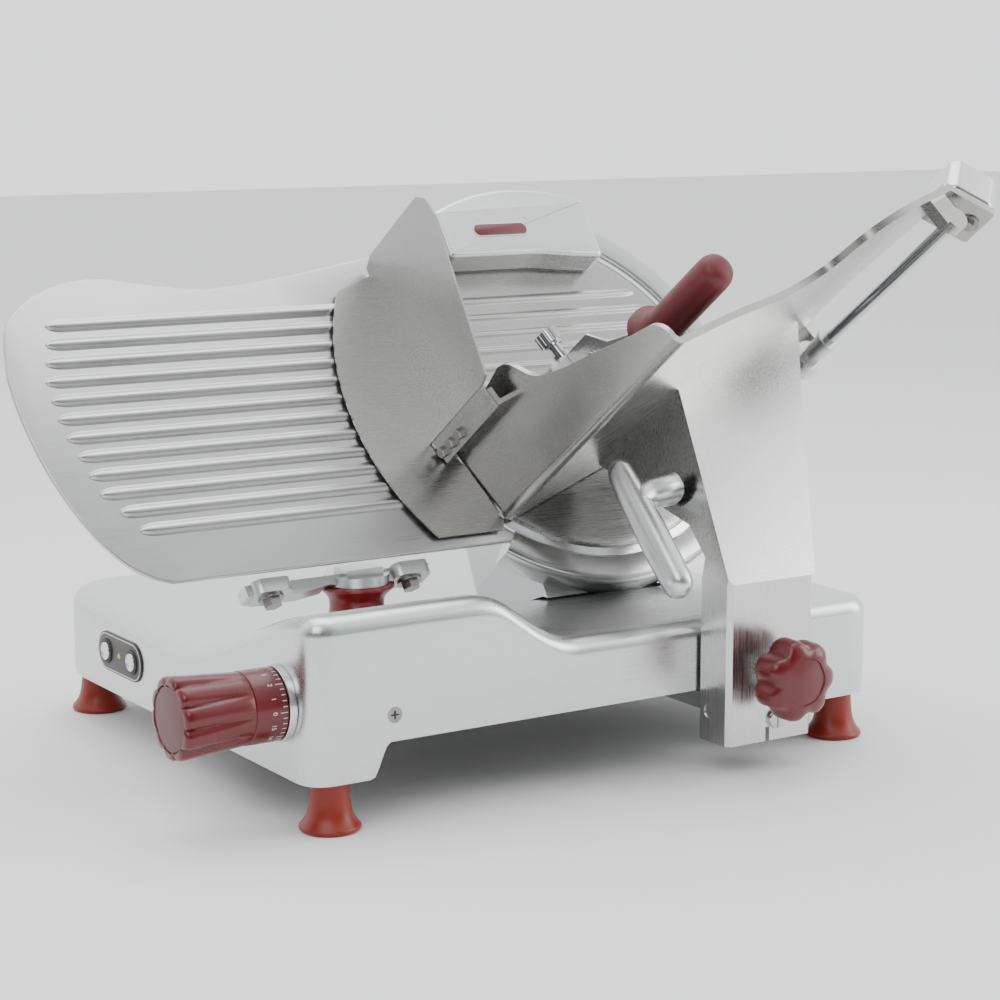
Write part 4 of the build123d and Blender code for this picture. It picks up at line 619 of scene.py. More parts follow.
# ---------------------------------------------------------------- base
@dataclass
class Base:
    """The casting, its feet, its switches and the screw in its near side."""

    corners: tuple[float, float, float, float] = (24.0, 24.0, 60.0, 60.0)
    rim: float = 15.0
    wall: float = 6.0
    ridge: float = 168.0
    ridge_width: float = 30.0
    deck: float = 103.0
    far_deck: float = 116.0
    ramp_end: float = 208.0
    low: float = 125.0
    step: tuple[float, float] = (148.0, 240.0)
    arch: tuple[float, float] = (55.0, 478.0)
    arch_height: float = 67.0
    arch_ramp: tuple[float, float] = (2.0, 14.0)     # its ends rise from just outside to this far inside
    step_headroom: float = 25.0      # height over the ridge from which the step's curve falls
    step_lead: float = 34.0          # the curve starts this far before the step
    step_tail: float = 6.0           # and ends this far after it
    soft: float = 5.0
    low_corner: np.ndarray = field(default_factory=lambda: np.array(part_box("base_casting")[0]) / MM)
    high_corner: np.ndarray = field(default_factory=lambda: np.array(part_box("base_casting")[1]) / MM)

    def soft_min(self, a: np.ndarray, b: np.ndarray) -> np.ndarray:
        """The lower of two heights with their crease rounded off: -k log(e^(-a/k) + e^(-b/k))."""
        k = self.soft
        return -k * np.logaddexp(-a / k, -b / k)

    def top(self, x: np.ndarray, y: np.ndarray) -> np.ndarray:
        """Height of the casting: a ridge that ramps down to the deck, lowered behind a step on the near side."""
        over, along = y - self.low_corner[1], x - self.low_corner[0]
        slope = (self.ridge - self.deck) / (self.ramp_end - self.ridge_width)
        ramp = self.ridge - slope * (over - self.ridge_width)
        fall = (self.far_deck - self.deck) / (self.high_corner[1] - self.low_corner[1] - self.ramp_end)
        deck = self.deck + fall * (over - self.ramp_end)
        front = -self.soft_min(-self.soft_min(np.full_like(ramp, self.ridge + 1), ramp + 1), -deck)
        lid = self.ridge + self.step_headroom
        fallen = smooth_step(along, self.step[0] - self.step_lead, self.step[1] + self.step_tail)
        lowered = lid - (lid - self.low) * fallen
        return self.soft_min(front, lowered)

    def bottom(self, points: np.ndarray) -> np.ndarray:
        """Lower edge: level, with a long opening in the near wall."""
        x, y = points[:, 0] - self.low_corner[0], points[:, 1] - self.low_corner[1]
        outer, inner = self.arch_ramp
        rise = (smooth_step(x, self.arch[0] - outer, self.arch[0] + inner)
                * (1 - smooth_step(x, self.arch[1] - inner, self.arch[1] + outer)))
        return self.low_corner[2] + (self.arch_height - self.low_corner[2]) * rise * (y < 2)

    def shell(self) -> bpy.types.Object:
        """The casting's skin: rings from the lower edge up the wall, over the rim and in to the middle of the deck.

        Returns:
            The casting, hollow, with its openings cut.
        """
        (x0, y0, _), (x1, y1, _) = self.low_corner, self.high_corner
        plan = resampled(rounded([(x0, y0), (x1, y0), (x1, y1), (x0, y1)], np.array(self.corners), 12), 3.5)
        foot, rings = self.bottom(plan), []
        edge = self.top(*inset(plan, 0.5).T) - self.rim
        for share in np.linspace(0, 1, 6):
            rings.append(np.column_stack([plan, foot + (edge - foot) * share]))
        for a in np.linspace(0, math.pi / 2, 8)[1:]:
            at = inset(plan, self.rim * (1 - math.cos(a)))
            rings.append(np.column_stack([at, self.top(*at.T) - self.rim * (1 - math.sin(a))]))
        start = inset(plan, self.rim)
        middle = (y0 + y1) / 2
        heart = np.column_stack([np.clip(start[:, 0], x0 + 170, x1 - 170), np.full(len(start), middle)])
        for share in np.linspace(0, 0.97, 46)[1:]:
            at = start + (heart - start) * share
            rings.append(np.column_stack([at, self.top(*at.T)]))
        skin = Skin().grid(np.stack(rings), close_cols=True).cap(rings[-1])
        piece = skin.build("casting_shell", sharp=40)
        wall = piece.modifiers.new("wall", "SOLIDIFY")
        wall.thickness, wall.offset, wall.use_even_offset = self.wall * MM, -1.0, True
        applied(piece)
        applied(piece, self.openings())
        piece.data.shade_smooth()
        piece.data.set_sharp_from_angle(angle=math.radians(40))
        even = piece.modifiers.new("even_shading", "WEIGHTED_NORMAL")
        even.keep_sharp = True
        return settle(piece, "base", CASE, ("base_casting",))

    def openings(self) -> list[bpy.types.Object]:
        """Solids that are cut out for the gauge's post, the knob's shaft, the buttons and the blade head."""
        post = np.array(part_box("gauge_boot")[0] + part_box("gauge_boot")[1]) / 2 / MM
        slot = slab(Skin(), ROW, rounded([(post[0] - 17, post[1] - 26), (post[0] + 17, post[1] - 26),
                                          (post[0] + 17, post[1] + 26), (post[0] - 17, post[1] + 26)], 15),
                    85, 160, 1.0).build("slot_cutter")
        cuts = [slot]
        for name, axes, reach in (("shaft_cutter", KNOB, 10.0), ("start_cutter", PANEL_FACE.moved(-25.5, 0, 0), 9.2),
                                  ("stop_cutter", PANEL_FACE.moved(25.5, 0, 0), 9.2)):
            skin = turned_body(Skin(), axes, [(0, -20), (reach, -20), (reach, 5), (0, 5)], 40)
            cuts.append(skin.build(name))
        head = np.vstack([arc(54, 0, 180, 24), [(-54, 0), (-70, -130), (-70, -262), (70, -262), (70, -130), (54, 0)]])
        cuts.append(slab(Skin(), BLADE, resampled(head, 6), -115, -32, 0.5, 1).build("head_cutter"))
        return cuts

    def feet(self) -> None:
        """Four flared feet, each a surface of revolution with a rolled lip."""
        skin = Skin()
        low, high = (np.array(c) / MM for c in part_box("rubber_feet"))
        profile = [(0, 0), (19, 0), (22.4, 0.5), (23.9, 2.0), (24, 3.4), (23.2, 4.8), (21.2, 7.2), (18.8, 11),
                   (17.0, 16), (15.7, 23), (15.0, 31), (14.8, 37), (14.4, 39.4), (13.6, 40), (0, 40)]
        for x in (low[0] + 24, high[0] - 24):
            for y in (low[1] + 24, high[1] - 24):
                turned_body(skin, ROW.moved(x, y, 0), smooth_curve(profile, 4), 64)
        settle(skin.build("flared_feet"), "base", FOOT, ("rubber_feet",))

    def switches(self) -> None:
        """The capsule panel with its light outline, two dished buttons in dark bezels and a small lamp."""
        stadium = np.vstack([arc(17, -90, 90, 24) + (27, 0), arc(17, 90, 270, 24) - (27, 0)])
        settle(slab(Skin(), PANEL_FACE, stadium, 0, 1.6, 0.5).build("panel_capsule"), "base", PANEL,
               ("switch_panel",))
        line = Skin()
        outer, inner = inset(stadium, 1.4), inset(stadium, 2.2)
        ring = np.stack([np.column_stack([o, np.full(len(stadium), z)]) for o, z in
                         ((outer, 1.4), (outer, 1.72), (inner, 1.72), (inner, 1.4))])
        line.grid(PANEL_FACE.place(ring), close_rows=True, close_cols=True)
        settle(line.build("panel_outline"), "base", INK)
        for name, node, side in (("start_cap", "start_button", -1), ("stop_cap", "stop_button", 1)):
            at = PANEL_FACE.moved(side * 25.5, 0, 0)
            ring = [(8.5, 1.2), (8.5, 3.0), (9.3, 3.3), (10.6, 2.9), (11.0, 1.2), (8.5, 1.2)]
            bezel = turned_body(Skin(), at, ring, 56)
            settle(bezel.build(f"{name}_bezel"), "base", BLACK)
            cap = [(0, -11.5), (7.9, -11.5), (7.9, 3.4), (7.6, 4.0), (7.0, 4.1), (6.5, 3.8), (5.6, 3.2), (3.0, 2.7),
                   (0, 2.6)]
            settle(turned_body(Skin(), at, cap, 56).build(name), node.split("_")[0], BUTTON, (node,))
        dome = [(0, 0.4), (2.45, 0.4), (2.45, 1.7), (2.0, 2.3), (1.1, 2.7), (0, 2.8)]
        settle(turned_body(Skin(), PANEL_FACE, dome, 32).build("lamp_dome"), "base", LAMP, ("pilot_lamp",))

    def side_screw(self) -> None:
        """A small countersunk screw in the near side; its cross is a raised black shape, painted shade that stands
        for the recess cut into the head.
        """
        y0 = self.low_corner[1]
        at = Axes(np.array([-191.0, y0, 87.6]), np.array([[1.0, 0, 0], [0, 0, 1.0], [0, -1.0, 0]]))
        cup = turned_body(Skin(), at, [(0, 0.1), (4.6, 0.1), (6.2, 0.35), (6.4, 0.1), (6.4, -2), (0, -2)], 40)
        settle(cup.build("side_screw_seat"), "base", DARK_STEEL)
        # the cross is painted shade: black where the recess in the head would lie in shadow, not a cut
        cross = [(-0.6, 3.2), (0.6, 3.2), (0.6, 0.6), (3.2, 0.6), (3.2, -0.6), (0.6, -0.6), (0.6, -3.2), (-0.6, -3.2),
                 (-0.6, -0.6), (-3.2, -0.6), (-3.2, 0.6), (-0.6, 0.6)]
        settle(slab(Skin(), at, np.array(cross, float)[::-1], 0.0, 0.7, 0.15, 1).build("side_screw_cross_painted_shade"), "base",
               BLACK)

    def build(self) -> None:
        """Makes every piece of the base."""
        self.shell()
        self.feet()
        self.switches()
        self.side_screw()


KNOB = Axes(np.array(joint_facts("index_turn")["pos_m"]) / MM, np.array([[0, -1.0, 0], [0, 0, 1.0], [-1.0, 0, 0]]))
PANEL_FACE = Axes(np.array([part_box("switch_panel")[1][0] / MM, *(np.array(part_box("switch_panel")[0][1:])
                  + np.array(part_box("switch_panel")[1][1:])) / 2 / MM]), KNOB.rows)


# ---------------------------------------------------------------- index knob
@dataclass
class IndexKnob:
    """The fluted knob that sets the slice, with its printed collar."""

    start: float = 6.6
    collar_r: float = 28.4
    collar_end: float = 33.0
    length: float = 85.0
    flutes: int = 10
    depth: float = 4.6
    marks: int = 40
    digits: int = 16

    def body(self) -> None:
        """Collar, fluted grip and dished end: the radius loses depth (1 - |sin(n a / 2)|)^1.6 over the grip."""
        s, e, r = self.start, self.collar_end, self.collar_r
        end = s + self.length
        profile = np.array([(8, s), (r - 0.6, s), (r, s + 0.6), (r, s + 8), (r, e - 3), (r, e - 0.6), (r - 0.9, e),
                            (r - 0.5, e + 1.2), (r + 0.2, e + 6), (r + 1.0, e + 16), (r + 2.2, e + 30),
                            (r + 3.6, end - 10), (r + 4.0, end - 5), (r + 3.6, end - 2),
                            (r + 2.0, end - 0.3), (r - 0.4, end + 0.3)])
        t = np.interp(profile[:, 1], [s, e, e + 9, end - 4, end + 1], [0, 0, 0.35, 1.0, 0.85])
        a = np.linspace(0, 2 * math.pi, 240, endpoint=False)[None, :]
        twist = (profile[:, 1:2] - e) / self.length * math.radians(9)
        groove = (1 - np.abs(np.sin(self.flutes * (a + twist) / 2))) ** 1.6
        radius = profile[:, :1] - self.depth * t[:, None] * groove
        z = np.repeat(profile[:, 1:2], 240, 1)
        rings = np.stack([radius * np.cos(a), radius * np.sin(a), z], -1)
        skin = Skin().grid(KNOB.place(rings), close_cols=True)
        lip = KNOB.place(np.stack([np.column_stack([arc(q, 0, 360, 241)[:-1], np.full(240, h)])
                                   for q, h in ((26.0, end + 0.3), (25.6, end - 0.4), (25.4, end - 1.2))]))
        joined = np.concatenate([KNOB.place(rings[-1:]), lip])
        skin.grid(joined, close_cols=True)
        skin.cap(lip[-1])
        skin.cap(KNOB.place(rings[0]), flip=True)
        settle(skin.build("index_knob_grip", sharp=38), "index", CRIMSON, ("index_knob",))
        disc = turned_body(Skin(), KNOB, [(0, end - 2), (25.2, end - 2), (25.2, end - 0.9), (24.6, end - 0.4),
                                          (20, end + 0.1), (0, end + 0.6)], 72)
        settle(disc.build("index_knob_cap"), "index", CRIMSON_CAP)

    def scale(self) -> None:
        """Ticks and numbers wrapped on the collar: x turns into angle x / r, y runs along the axis."""
        skin = Skin()
        for i in range(self.marks):
            a, long = 2 * math.pi * i / self.marks, (6.0 if i % 5 == 0 else 3.6)
            self.wrap(skin, np.array([[(-0.28, 0.0), (0.28, 0.0)], [(-0.28, long), (0.28, long)]]), a)
        settle(skin.build("dial_ticks", recalculate=False), "index", INK)
        numbers = [self.number(i) for i in range(self.digits)]
        work = bmesh.new()
        for mesh in numbers:
            work.from_mesh(mesh)
            bpy.data.meshes.remove(mesh)
        mesh = bpy.data.meshes.new("dial_numbers")
        work.to_mesh(mesh)
        work.free()
        settle(shown("dial_numbers", mesh, 30), "index", INK)

    def wrap(self, skin: Skin, flat: np.ndarray, angle: float) -> None:
        """Lays a flat grid of x, y on the collar at an angle, 0.12 mm proud."""
        r = self.collar_r + 0.12
        a = angle + flat[..., 0] / r
        skin.grid(KNOB.place(np.stack([r * np.cos(a), r * np.sin(a), self.start + 1.2 + flat[..., 1]], -1)))

    def number(self, i: int) -> bpy.types.Mesh:
        """One number of the dial as a mesh on the collar."""
        curve = bpy.data.curves.new(f"number_{i}", "FONT")
        curve.body, curve.size, curve.align_x = str(i), 5.2, "CENTER"
        carrier = bpy.data.objects.new(f"number_{i}", curve)
        bpy.context.scene.collection.objects.link(carrier)
        bpy.context.view_layer.update()
        mesh = bpy.data.meshes.new_from_object(carrier.evaluated_get(bpy.context.evaluated_depsgraph_get()))
        bpy.data.objects.remove(carrier)
        bpy.data.curves.remove(curve)
        co = np.empty(len(mesh.vertices) * 3)
        mesh.vertices.foreach_get("co", co)
        co = co.reshape(-1, 3)
        r = self.collar_r + 0.14
        a = 2 * math.pi * i / self.digits - co[:, 0] / r
        placed = KNOB.place(np.column_stack([r * np.cos(a), r * np.sin(a), self.start + 13.4 - co[:, 1]])) * MM
        mesh.vertices.foreach_set("co", placed.ravel())
        return mesh

    def build(self) -> None:
        """Makes every piece of the knob."""
        self.body()
        self.scale()
        ring = [(9, 0), (29.4, 0), (30, 0.7), (30, 5.6), (29.4, 6.2), (20, 6.2), (20, 6.4), (9, 6.4), (9, 0)]
        settle(turned_body(Skin(), KNOB, ring, 96).build("dial_ring_turned"), "base", BUTTON, ("dial_ring",))


# ---------------------------------------------------------------- gauge plate
@dataclass
class GaugePlate:
    """The adjustable plate left of the blade, its pressed ribs and the boot round its post."""

    left: tuple = ((-422, -141), (-440, -134), (-458, -120), (-475, -96), (-488, -68), (-498, -38), (-504, -10),
                   (-508, 20), (-509, 50))
    top: tuple = ((-509, 50), (-500, 92), (-481, 114), (-450, 130), (-411, 136), (-362, 127), (-313, 121),
                  (-239, 129), (-169, 141), (-128, 147), (-112, 148))
    blade_reach: float = 168.5
    ribs: int = 12
    pitch: float = 17.0
    first: float = 93.0

    def outline(self) -> np.ndarray:
        """The plate's edge in the blade's axes: curves on the left and top, an arc round the blade on the right."""
        arc_end = math.degrees(math.atan2(148, -112))
        low = math.degrees(math.atan2(-141, -92)) + 360
        left, top = smooth_curve(self.left, 8), smooth_curve(self.top, 8)
        r = np.linspace(np.hypot(112, 148), self.blade_reach, 4)[1:-1]
        a = math.radians(arc_end)
        shoulder = np.column_stack([r * math.cos(a), r * math.sin(a)])
        return resampled(np.vstack([left, top[1:], shoulder, arc(self.blade_reach, arc_end + 1, low, 60)]), 3.0)

    def left_end(self, u: float) -> float:
        """Where a rib begins on the left."""
        return float(np.interp(u, [-94, -60, 0, 40, 93], [-438, -462, -478, -480, -466]))

    def boot(self) -> None:
        """A flexible skirt between the casting and the plate's foot."""
        low, high = (np.array(c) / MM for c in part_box("gauge_boot"))
        cx, cy = (low + high)[:2] / 2
        skin, a = Skin(), np.linspace(0, 2 * math.pi, 72, endpoint=False)
        base, rings = Base(), []
        floor_z = base.top(np.array([cx]), np.array([cy]))[0]
        for r, t in ((30.5, -0.06), (32, 0.02), (32, 0.10), (30.6, 0.17), (25.5, 0.26), (23.2, 0.36), (22.6, 0.5),
                     (23.2, 0.64), (25.5, 0.76), (29.5, 0.86), (31.4, 0.93), (31.4, 0.985), (30.4, 1.0), (14, 1.0)):
            x, y = cx + r * np.cos(a), cy + r * np.sin(a)
            ground = base.top(x, y) + (floor_z - base.top(x, y)) * smooth_step(np.full_like(x, t), 0, 0.9)
            rings.append(np.column_stack([x, y, ground + (high[2] - ground) * t]))
        skin.grid(np.stack(rings), close_cols=True)
        piece = dress(skin.build("gauge_boot_skirt", recalculate=False), BOOT)
        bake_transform(piece)
        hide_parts("gauge_boot")

    def build(self) -> None:
        """Makes the plate, its ribs and the boot."""
        settle(slab(Skin(), BLADE, self.outline(), -4, 0, 1.6).build("gauge_plate_sheet", sharp=50), "gauge", PLATE,
               ("gauge_plate",))
        skin = Skin()
        for i in range(self.ribs):
            u = self.first - self.pitch * i
            right = -math.sqrt(self.blade_reach**2 - u**2) - 7
            bar_rib(skin, BLADE, self.left_end(u), right, u, 12.5, 2.8)
        settle(skin.build("gauge_plate_ribs", sharp=60), "gauge", PLATE)
        settle(fettled("gauge_bracket", 2.5), "gauge", CAST, ("gauge_bracket",))
        self.boot()


# ---------------------------------------------------------------- blade
@dataclass
class BladeUnit:
    """Blade, its cover plate, the ring guard round it and the sharpener's cover over it."""

    blade_r: float = 165.0
    ring_in: float = 166.4
    ring_out: float = 190.4
    cover_r: float = 156.0
    top_u: float = 122.0

    def ring(self) -> None:
        """The guard: a C of constant section, its outer shoulder rounded."""
        section = np.array([(self.ring_in, -24), (self.ring_in, -1), (self.ring_in + 0.6, -0.3),
                            (self.ring_in + 1.6, 0), (self.ring_out - 8, 0), (self.ring_out - 5, -0.5),
                            (self.ring_out - 2.2, -2),
                            (self.ring_out - 0.6, -4.6), (self.ring_out, -8), (self.ring_out, -24),
                            (self.ring_out - 4, -24)])
        a = np.radians(np.linspace(-128, 130, 220))[:, None]
        depth = np.repeat(section[None, :, 1], len(a), 0)
        rings = np.stack([section[:, 0] * np.cos(a), section[:, 0] * np.sin(a), depth], -1)
        placed = BLADE.place(rings)
        skin = Skin().grid(placed, close_cols=True).cap(placed[0], flip=True).cap(placed[-1])
        settle(skin.build("ring_guard_turned"), "base", LATHE, ("ring_guard",))

    def disc(self) -> None:
        """The ground blade and the plate that covers it, with its pressed ribs."""
        edge = [(0, -8), (60, -8), (118, -7.6), (150, -6.4), (self.blade_r - 0.2, -3.1), (self.blade_r, -2.9),
                (self.blade_r - 0.6, -2.7), (158, -2.0), (157, -3.2), (60, -5), (0, -5)]
        blade = turned_body(Skin(), BLADE, edge, 240).build("blade_ground", sharp=25)
        settle(blade, "blade_unit", EDGE, ("blade",))
        recess = arc(15, 0, 360, 25)[:-1] * (1.0, 0.62) + (29, -129)
        face = [(0, -4.2), (self.cover_r - 1, -4.2), (self.cover_r, -3.4), (self.cover_r, -1.2),
                (self.cover_r - 1.1, -0.35),
                (self.cover_r - 3, 0), (self.cover_r - 8, 0), (0, 0)]
        plate = turned_body(Skin(), BLADE, face, 240).build("blade_cover_disc")
        cutter = slab(Skin(), BLADE, recess, -2.6, 3, 1.0).build("recess_cutter")
        applied(plate, [cutter])
        plate.data.set_sharp_from_angle(angle=math.radians(32))
        body = frame["nodes"]["blade_cover"]["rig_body"]
        settle(plate, body, SHEET, ("blade_cover",))
        skin = Skin()
        for u in np.arange(93, 0, -17.0):
            reach = math.sqrt(self.cover_r**2 - u**2) - 9
            bar_rib(skin, BLADE, -reach, reach, float(u), 9.0, 1.5)
        settle(skin.build("blade_cover_ribs", sharp=60), body, SHEET)

    def sharpener(self) -> None:
        """The arched cover over the stones, with rounded edges, and its blank badge."""
        x0, x1, r = -88.0, 74.0, self.ring_out + 1
        top = arc(r, math.degrees(math.acos(x1 / r)), math.degrees(math.acos(x0 / r)), 50)
        body = np.vstack([top, [(x0, self.top_u + 2), (x0 + 3, self.top_u), (0, self.top_u), (12, self.top_u - 0.6),
                                (40, self.top_u - 4), (x1 - 4, self.top_u - 6), (x1, self.top_u - 3)]])
        body = resampled(body, 2.5)
        piece = slab(Skin(), BLADE, body, 1, 30, 4.5, 6).build("sharpener_shell", sharp=50)
        applied(piece, [slab(Skin(), BLADE, inset(body, 3.2), -4, 26.8, 1.5, 2).build("hollow_cutter")])
        piece.data.set_sharp_from_angle(angle=math.radians(50))
        settle(piece, "sharpener", CASE, ("sharpener_cover",))
        capsule = np.vstack([arc(7, -90, 90, 16) + (22, 0), arc(7, 90, 270, 16) - (22, 0)]) + (-27, 148)
        settle(slab(Skin(), BLADE, capsule, 29.8, 30.5, 0.25, 2).build("badge_border"), "sharpener", INK)
        settle(slab(Skin(), BLADE, inset(capsule, 1.3), 30.2, 30.8, 0.2, 2).build("badge_face"), "sharpener", BADGE,
               ("name_badge",))

    def build(self) -> None:
        """Makes every piece of the blade unit."""
        self.ring()
        self.disc()
        self.sharpener()
        settle(fettled("slice_deflector", 1.5), "deflector", COLUMN, ("slice_deflector",))


# ---------------------------------------------------------------- carriage
@dataclass
class Carriage:
    """Tray, arm, guard, handle and the star knob that clamps the arm."""

    knob_at: tuple[float, float, float] = (138.0, -232.4, 86.0)
    knob_r: float = 34.0
    lobes: int = 7

    def star_knob(self) -> None:
        """A lobed knob: the radius falls by a share of cos(n a) between its lobes; a knurled neck joins it."""
        x, y, z = self.knob_at
        at = Axes(np.array([x, y, z]), np.array([[1.0, 0, 0], [0, 0, 1.0], [0, -1.0, 0]]))
        end = 281.0 + y
        s, r = 14.0, self.knob_r
        profile = [(0, s), (17, s), (19, s + 0.6), (r - 6, s + 3), (r - 2.4, s + 5), (r - 0.6, s + 8), (r, s + 12),
                   (r - 0.2, end - 10), (r - 1.6, end - 6), (r - 5, end - 3.4), (r - 11, end - 1.6),
                   (r - 14, end - 1.2),
                   (r - 14.6, end - 2.2), (12, end - 1.0), (6, end - 0.2), (0, end)]

        def lobed(a: np.ndarray, t: np.ndarray) -> np.ndarray:
            """Full depth on the grip, none on the axis."""
            deep = np.clip((np.array([p[0] for p in profile]) / r)[:, None], 0, 1) ** 3
            return 1 - 0.17 * deep * (0.5 - 0.5 * np.cos(self.lobes * a)) ** 1.5

        piece = turned_body(Skin(), at, profile, 210, lobed).build("star_knob", sharp=45)
        settle(piece, "carriage_clamp", CRIMSON, ("carriage_knob",))
        neck = [(0, -8), (15, -8), (16.5, -6.5), (16.5, s - 2), (15.5, s - 0.6), (15, s + 0.2), (0, s + 0.2)]
        piece = turned_body(Skin(), at, neck, 144,
                            lambda a, t: 1 - 0.022 * (0.5 - 0.5 * np.cos(36 * a)) * (t > 0.2)).build("star_knob_neck")
        settle(piece, "carriage_clamp", DARK_STEEL)

    def handle(self) -> None:
        """A cast lever: a stem out of the arm that bends into a tapering grip."""
        stem = np.array([(100, -148, 228), (88, -150, 227), (74, -150, 225), (64, -153, 222), (60, -158, 216)], float)
        path = smooth_curve(stem, 8)
        skin, n = Skin(), len(path)
        along = np.gradient(path, axis=0)
        along /= np.linalg.norm(along, axis=1, keepdims=True)
        side = np.cross(along, np.array([0, 0.77, -0.64]))
        side /= np.linalg.norm(side, axis=1, keepdims=True)
        t = np.linspace(0, 1, n)
        swept(skin, path, side, np.cross(along, side), 13 - 2.5 * t, 15 - 3.0 * t, 2.4)
        settle(skin.build("handle_stem"), "arm", CASE)
        low, high = np.array([61.0, -219, 155]), np.array([61.0, -122, 250])
        t = np.concatenate([[0, 0.008, 0.02, 0.045], np.linspace(0.08, 0.92, 22), [0.955, 0.98, 0.992, 1.0]])
        shape = np.sqrt(np.clip(1 - np.clip(1 - np.minimum(t, 1 - t) / 0.08, 0, 1) ** 2, 0, 1))
        width = (9.4 + 2.2 * np.cos((t - 0.35) * math.pi)) * np.maximum(shape, 0.04)
        height = (12.0 + 2.6 * np.cos((t - 0.40) * math.pi)) * np.maximum(shape, 0.04)
        line = (high - low) / np.linalg.norm(high - low)
        centres = low + (high - low) * t[:, None]
        sides = np.tile(np.array([1.0, 0, 0]), (len(t), 1))
        skin = swept(Skin(), centres, sides, np.cross(np.tile(line, (len(t), 1)), sides), width, height, 2.3)
        settle(skin.build("handle_grip"), "arm", CASE, ("push_handle",))

    def build(self) -> None:
        """Makes every piece of the carriage."""
        settle(fettled("product_tray", 1.6), "arm", TRAY, ("product_tray",))
        settle(fettled("carriage_arm", 2.6, 4), "arm", COLUMN, ("carriage_arm",))
        settle(fettled("hand_guard", 0.8), "arm", SHEET, ("hand_guard",))
        settle(fettled("corner_block", 4.0, 4), "arm", BUTTON, ("corner_block",))
        self.star_knob()
        self.handle()


# ---------------------------------------------------------------- pusher
@dataclass
class Pusher:
    """The meat pusher with its grip and its clamping screw."""

    grip_at: tuple[float, float] = (82.0, 38.0)
    grip: tuple[float, float] = (196.0, 304.0)

    def build(self) -> None:
        """Makes the grip and the bars."""
        at = TROUGH.moved(*self.grip_at, 0)
        n0, n1 = self.grip
        profile = [(0, n0), (24, n0), (25, n0 + 1), (25, n0 + 7), (24, n0 + 9), (20, n0 + 10.4), (16.6, n0 + 13),
                   (15.6, n0 + 18), (15.5, n1 - 16), (15.0, n1 - 9), (13.2, n1 - 4.4), (9.6, n1 - 1.4),
                   (5, n1 - 0.2), (0, n1)]
        settle(turned_body(Skin(), at, profile, 72).build("grip_turned", sharp=50), "pusher", MAROON,
               ("pusher_grip",))
        bars = (("pusher_arm", 2.0, COLUMN), ("pusher_plate", 1.4, SHEET), ("grip_bar", 0.8, STEEL))
        for node, edge, finish in bars:
            settle(fettled(node, edge), "pusher", finish, (node,))


# ---------------------------------------------------------------- finishes of the frame's own nodes
class FrameFinishes:
    """Gives every frame node that is still shown a finish through its slot."""

    by_slot = {"cast": CAST, "satin": COLUMN, "steel": STEEL, "blade_steel": EDGE, "chrome_rod": CHROME,
               "dark_bolt": DARK_STEEL, "knob": CRIMSON, "grip": MAROON, "feet": FOOT, "boot": BOOT, "panel": PANEL,
               "button": BUTTON, "lamp": LAMP, "black": BLACK, "motor_paint": PAINT, "belt": RUBBER, "bronze": BRONZE,
               "abrasive": GRIT, "badge": BADGE}

    def apply(self) -> None:
        """Sets each node's material from its slot; the piece itself isn't touched."""
        for entry in frame["record"]["subparts"]:
            dress(frame["nodes"][entry["node"]], self.by_slot[entry["material_slot"]])


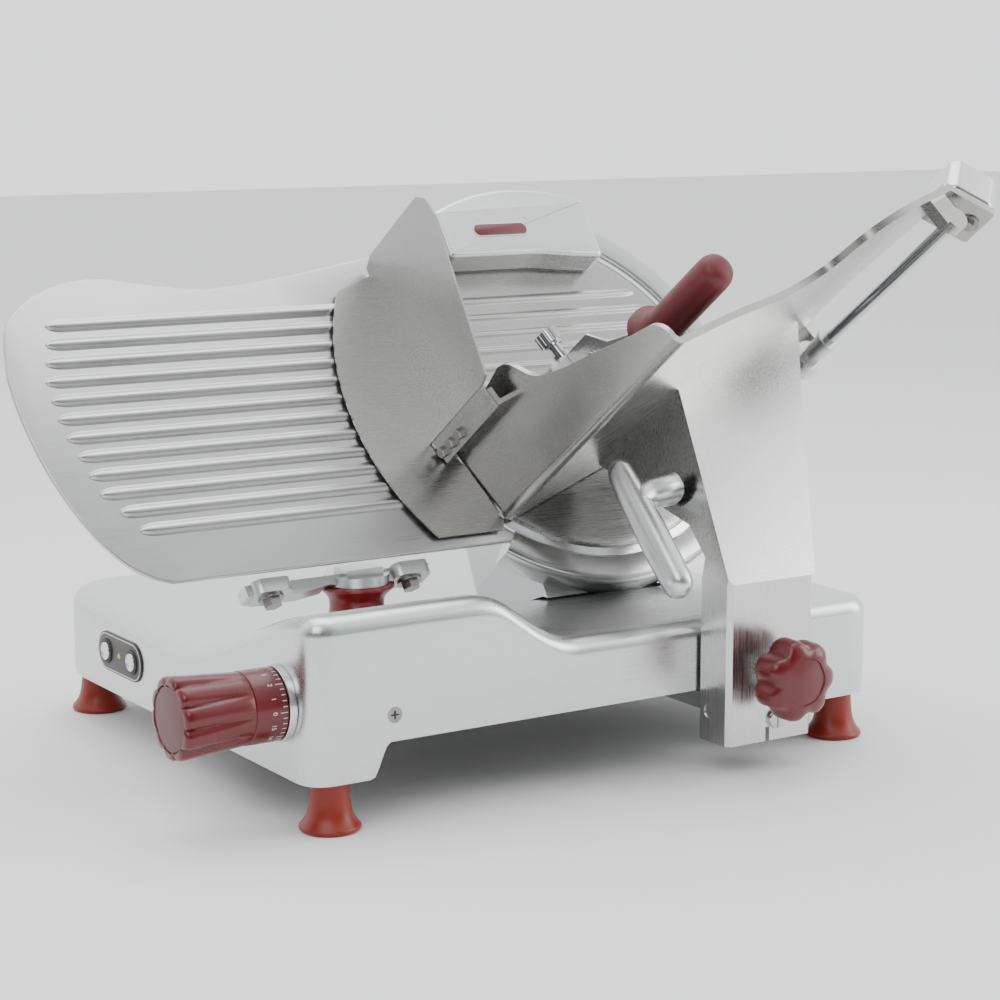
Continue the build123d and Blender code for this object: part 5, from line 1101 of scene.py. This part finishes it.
# ---------------------------------------------------------------- studio
@dataclass
class Studio:
    """Camera, soft lights and a pale floor."""

    eye: tuple[float, float, float] = (-1.1022, -1.7443, 0.567)
    gaze: tuple[float, float, float] = (0.5356, 0.8267, -0.1723)
    lens: float = 88.3
    dim: float = 0.10                # the room's light behind the camera
    bright: float = 1.75             # and ahead of it
    floor_reach: float = 9000.0

    def camera(self) -> None:
        """The camera of the view to match."""
        data = bpy.data.cameras.new("camera")
        data.lens, data.sensor_width, data.clip_end = self.lens, 36.0, 20.0
        holder = bpy.data.objects.new("camera", data)
        holder.location = self.eye
        holder.rotation_euler = Vector(self.gaze).to_track_quat("-Z", "Y").to_euler()
        bpy.context.scene.collection.objects.link(holder)
        bpy.context.scene.camera = holder

    def panel(self, name: str, place: tuple, aim: tuple, size: tuple[float, float], power: float) -> None:
        """One soft rectangular light."""
        data = bpy.data.lights.new(name, "AREA")
        data.shape, data.size, data.size_y, data.energy = "RECTANGLE", *size, power
        holder = bpy.data.objects.new(name, data)
        holder.location = place
        holder.rotation_euler = (Vector(aim) - Vector(place)).to_track_quat("-Z", "Y").to_euler()
        bpy.context.scene.collection.objects.link(holder)

    def backdrop(self) -> None:
        """Pale world and a floor that the feet rest on."""
        world = bpy.data.worlds.new("studio")
        bpy.context.scene.world = world
        world.use_nodes = True
        tree = world.node_tree
        sky = tree.nodes["Background"]
        sky.inputs["Color"].default_value = (0.96, 0.97, 0.98, 1)
        ray = tree.nodes.new("ShaderNodeTexCoord")
        ahead = tree.nodes.new("ShaderNodeVectorMath")
        ahead.operation = "DOT_PRODUCT"
        ahead.inputs[1].default_value = (0.50, 0.80, 0.33)
        reach = tree.nodes.new("ShaderNodeMapRange")
        reach.interpolation_type = "SMOOTHSTEP"
        for socket, value in (("From Min", -0.75), ("From Max", 0.55), ("To Min", self.dim), ("To Max", self.bright)):
            reach.inputs[socket].default_value = value
        tree.links.new(ray.outputs["Generated"], ahead.inputs[0])
        tree.links.new(ahead.outputs["Value"], reach.inputs["Value"])
        tree.links.new(reach.outputs["Result"], sky.inputs["Strength"])
        far = self.floor_reach
        floor = Skin().grid(np.array([[(-far, -far, 0), (far, -far, 0)], [(-far, far, 0), (far, far, 0)]]))
        piece = floor.build("floor", recalculate=False)
        dress(piece, Moulded("pale_floor", (0.92, 0.92, 0.92), 0.80, mottle=0.01, texture=0.0))

    def build(self) -> None:
        """Sets the whole studio up."""
        self.camera()
        self.panel("key", (-1.6, -1.5, 2.0), (0, 0, 0.2), (1.6, 1.6), 26)
        self.panel("top", (0.2, 0.4, 2.4), (0, 0, 0.2), (2.2, 2.2), 30)
        self.panel("side", (1.9, -1.3, 1.0), (0, 0, 0.25), (0.9, 1.6), 20)
        self.backdrop()


def main() -> None:
    """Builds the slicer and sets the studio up."""
    logging.basicConfig(level=logging.INFO)
    for part in (Base(), IndexKnob(), GaugePlate(), BladeUnit(), Carriage(), Pusher()):
        part.build()
        LOG.info("%s done", type(part).__name__)
    FrameFinishes().apply()
    Studio().build()
    bpy.context.view_layer.update()


if __name__ == "__main__":
    main()
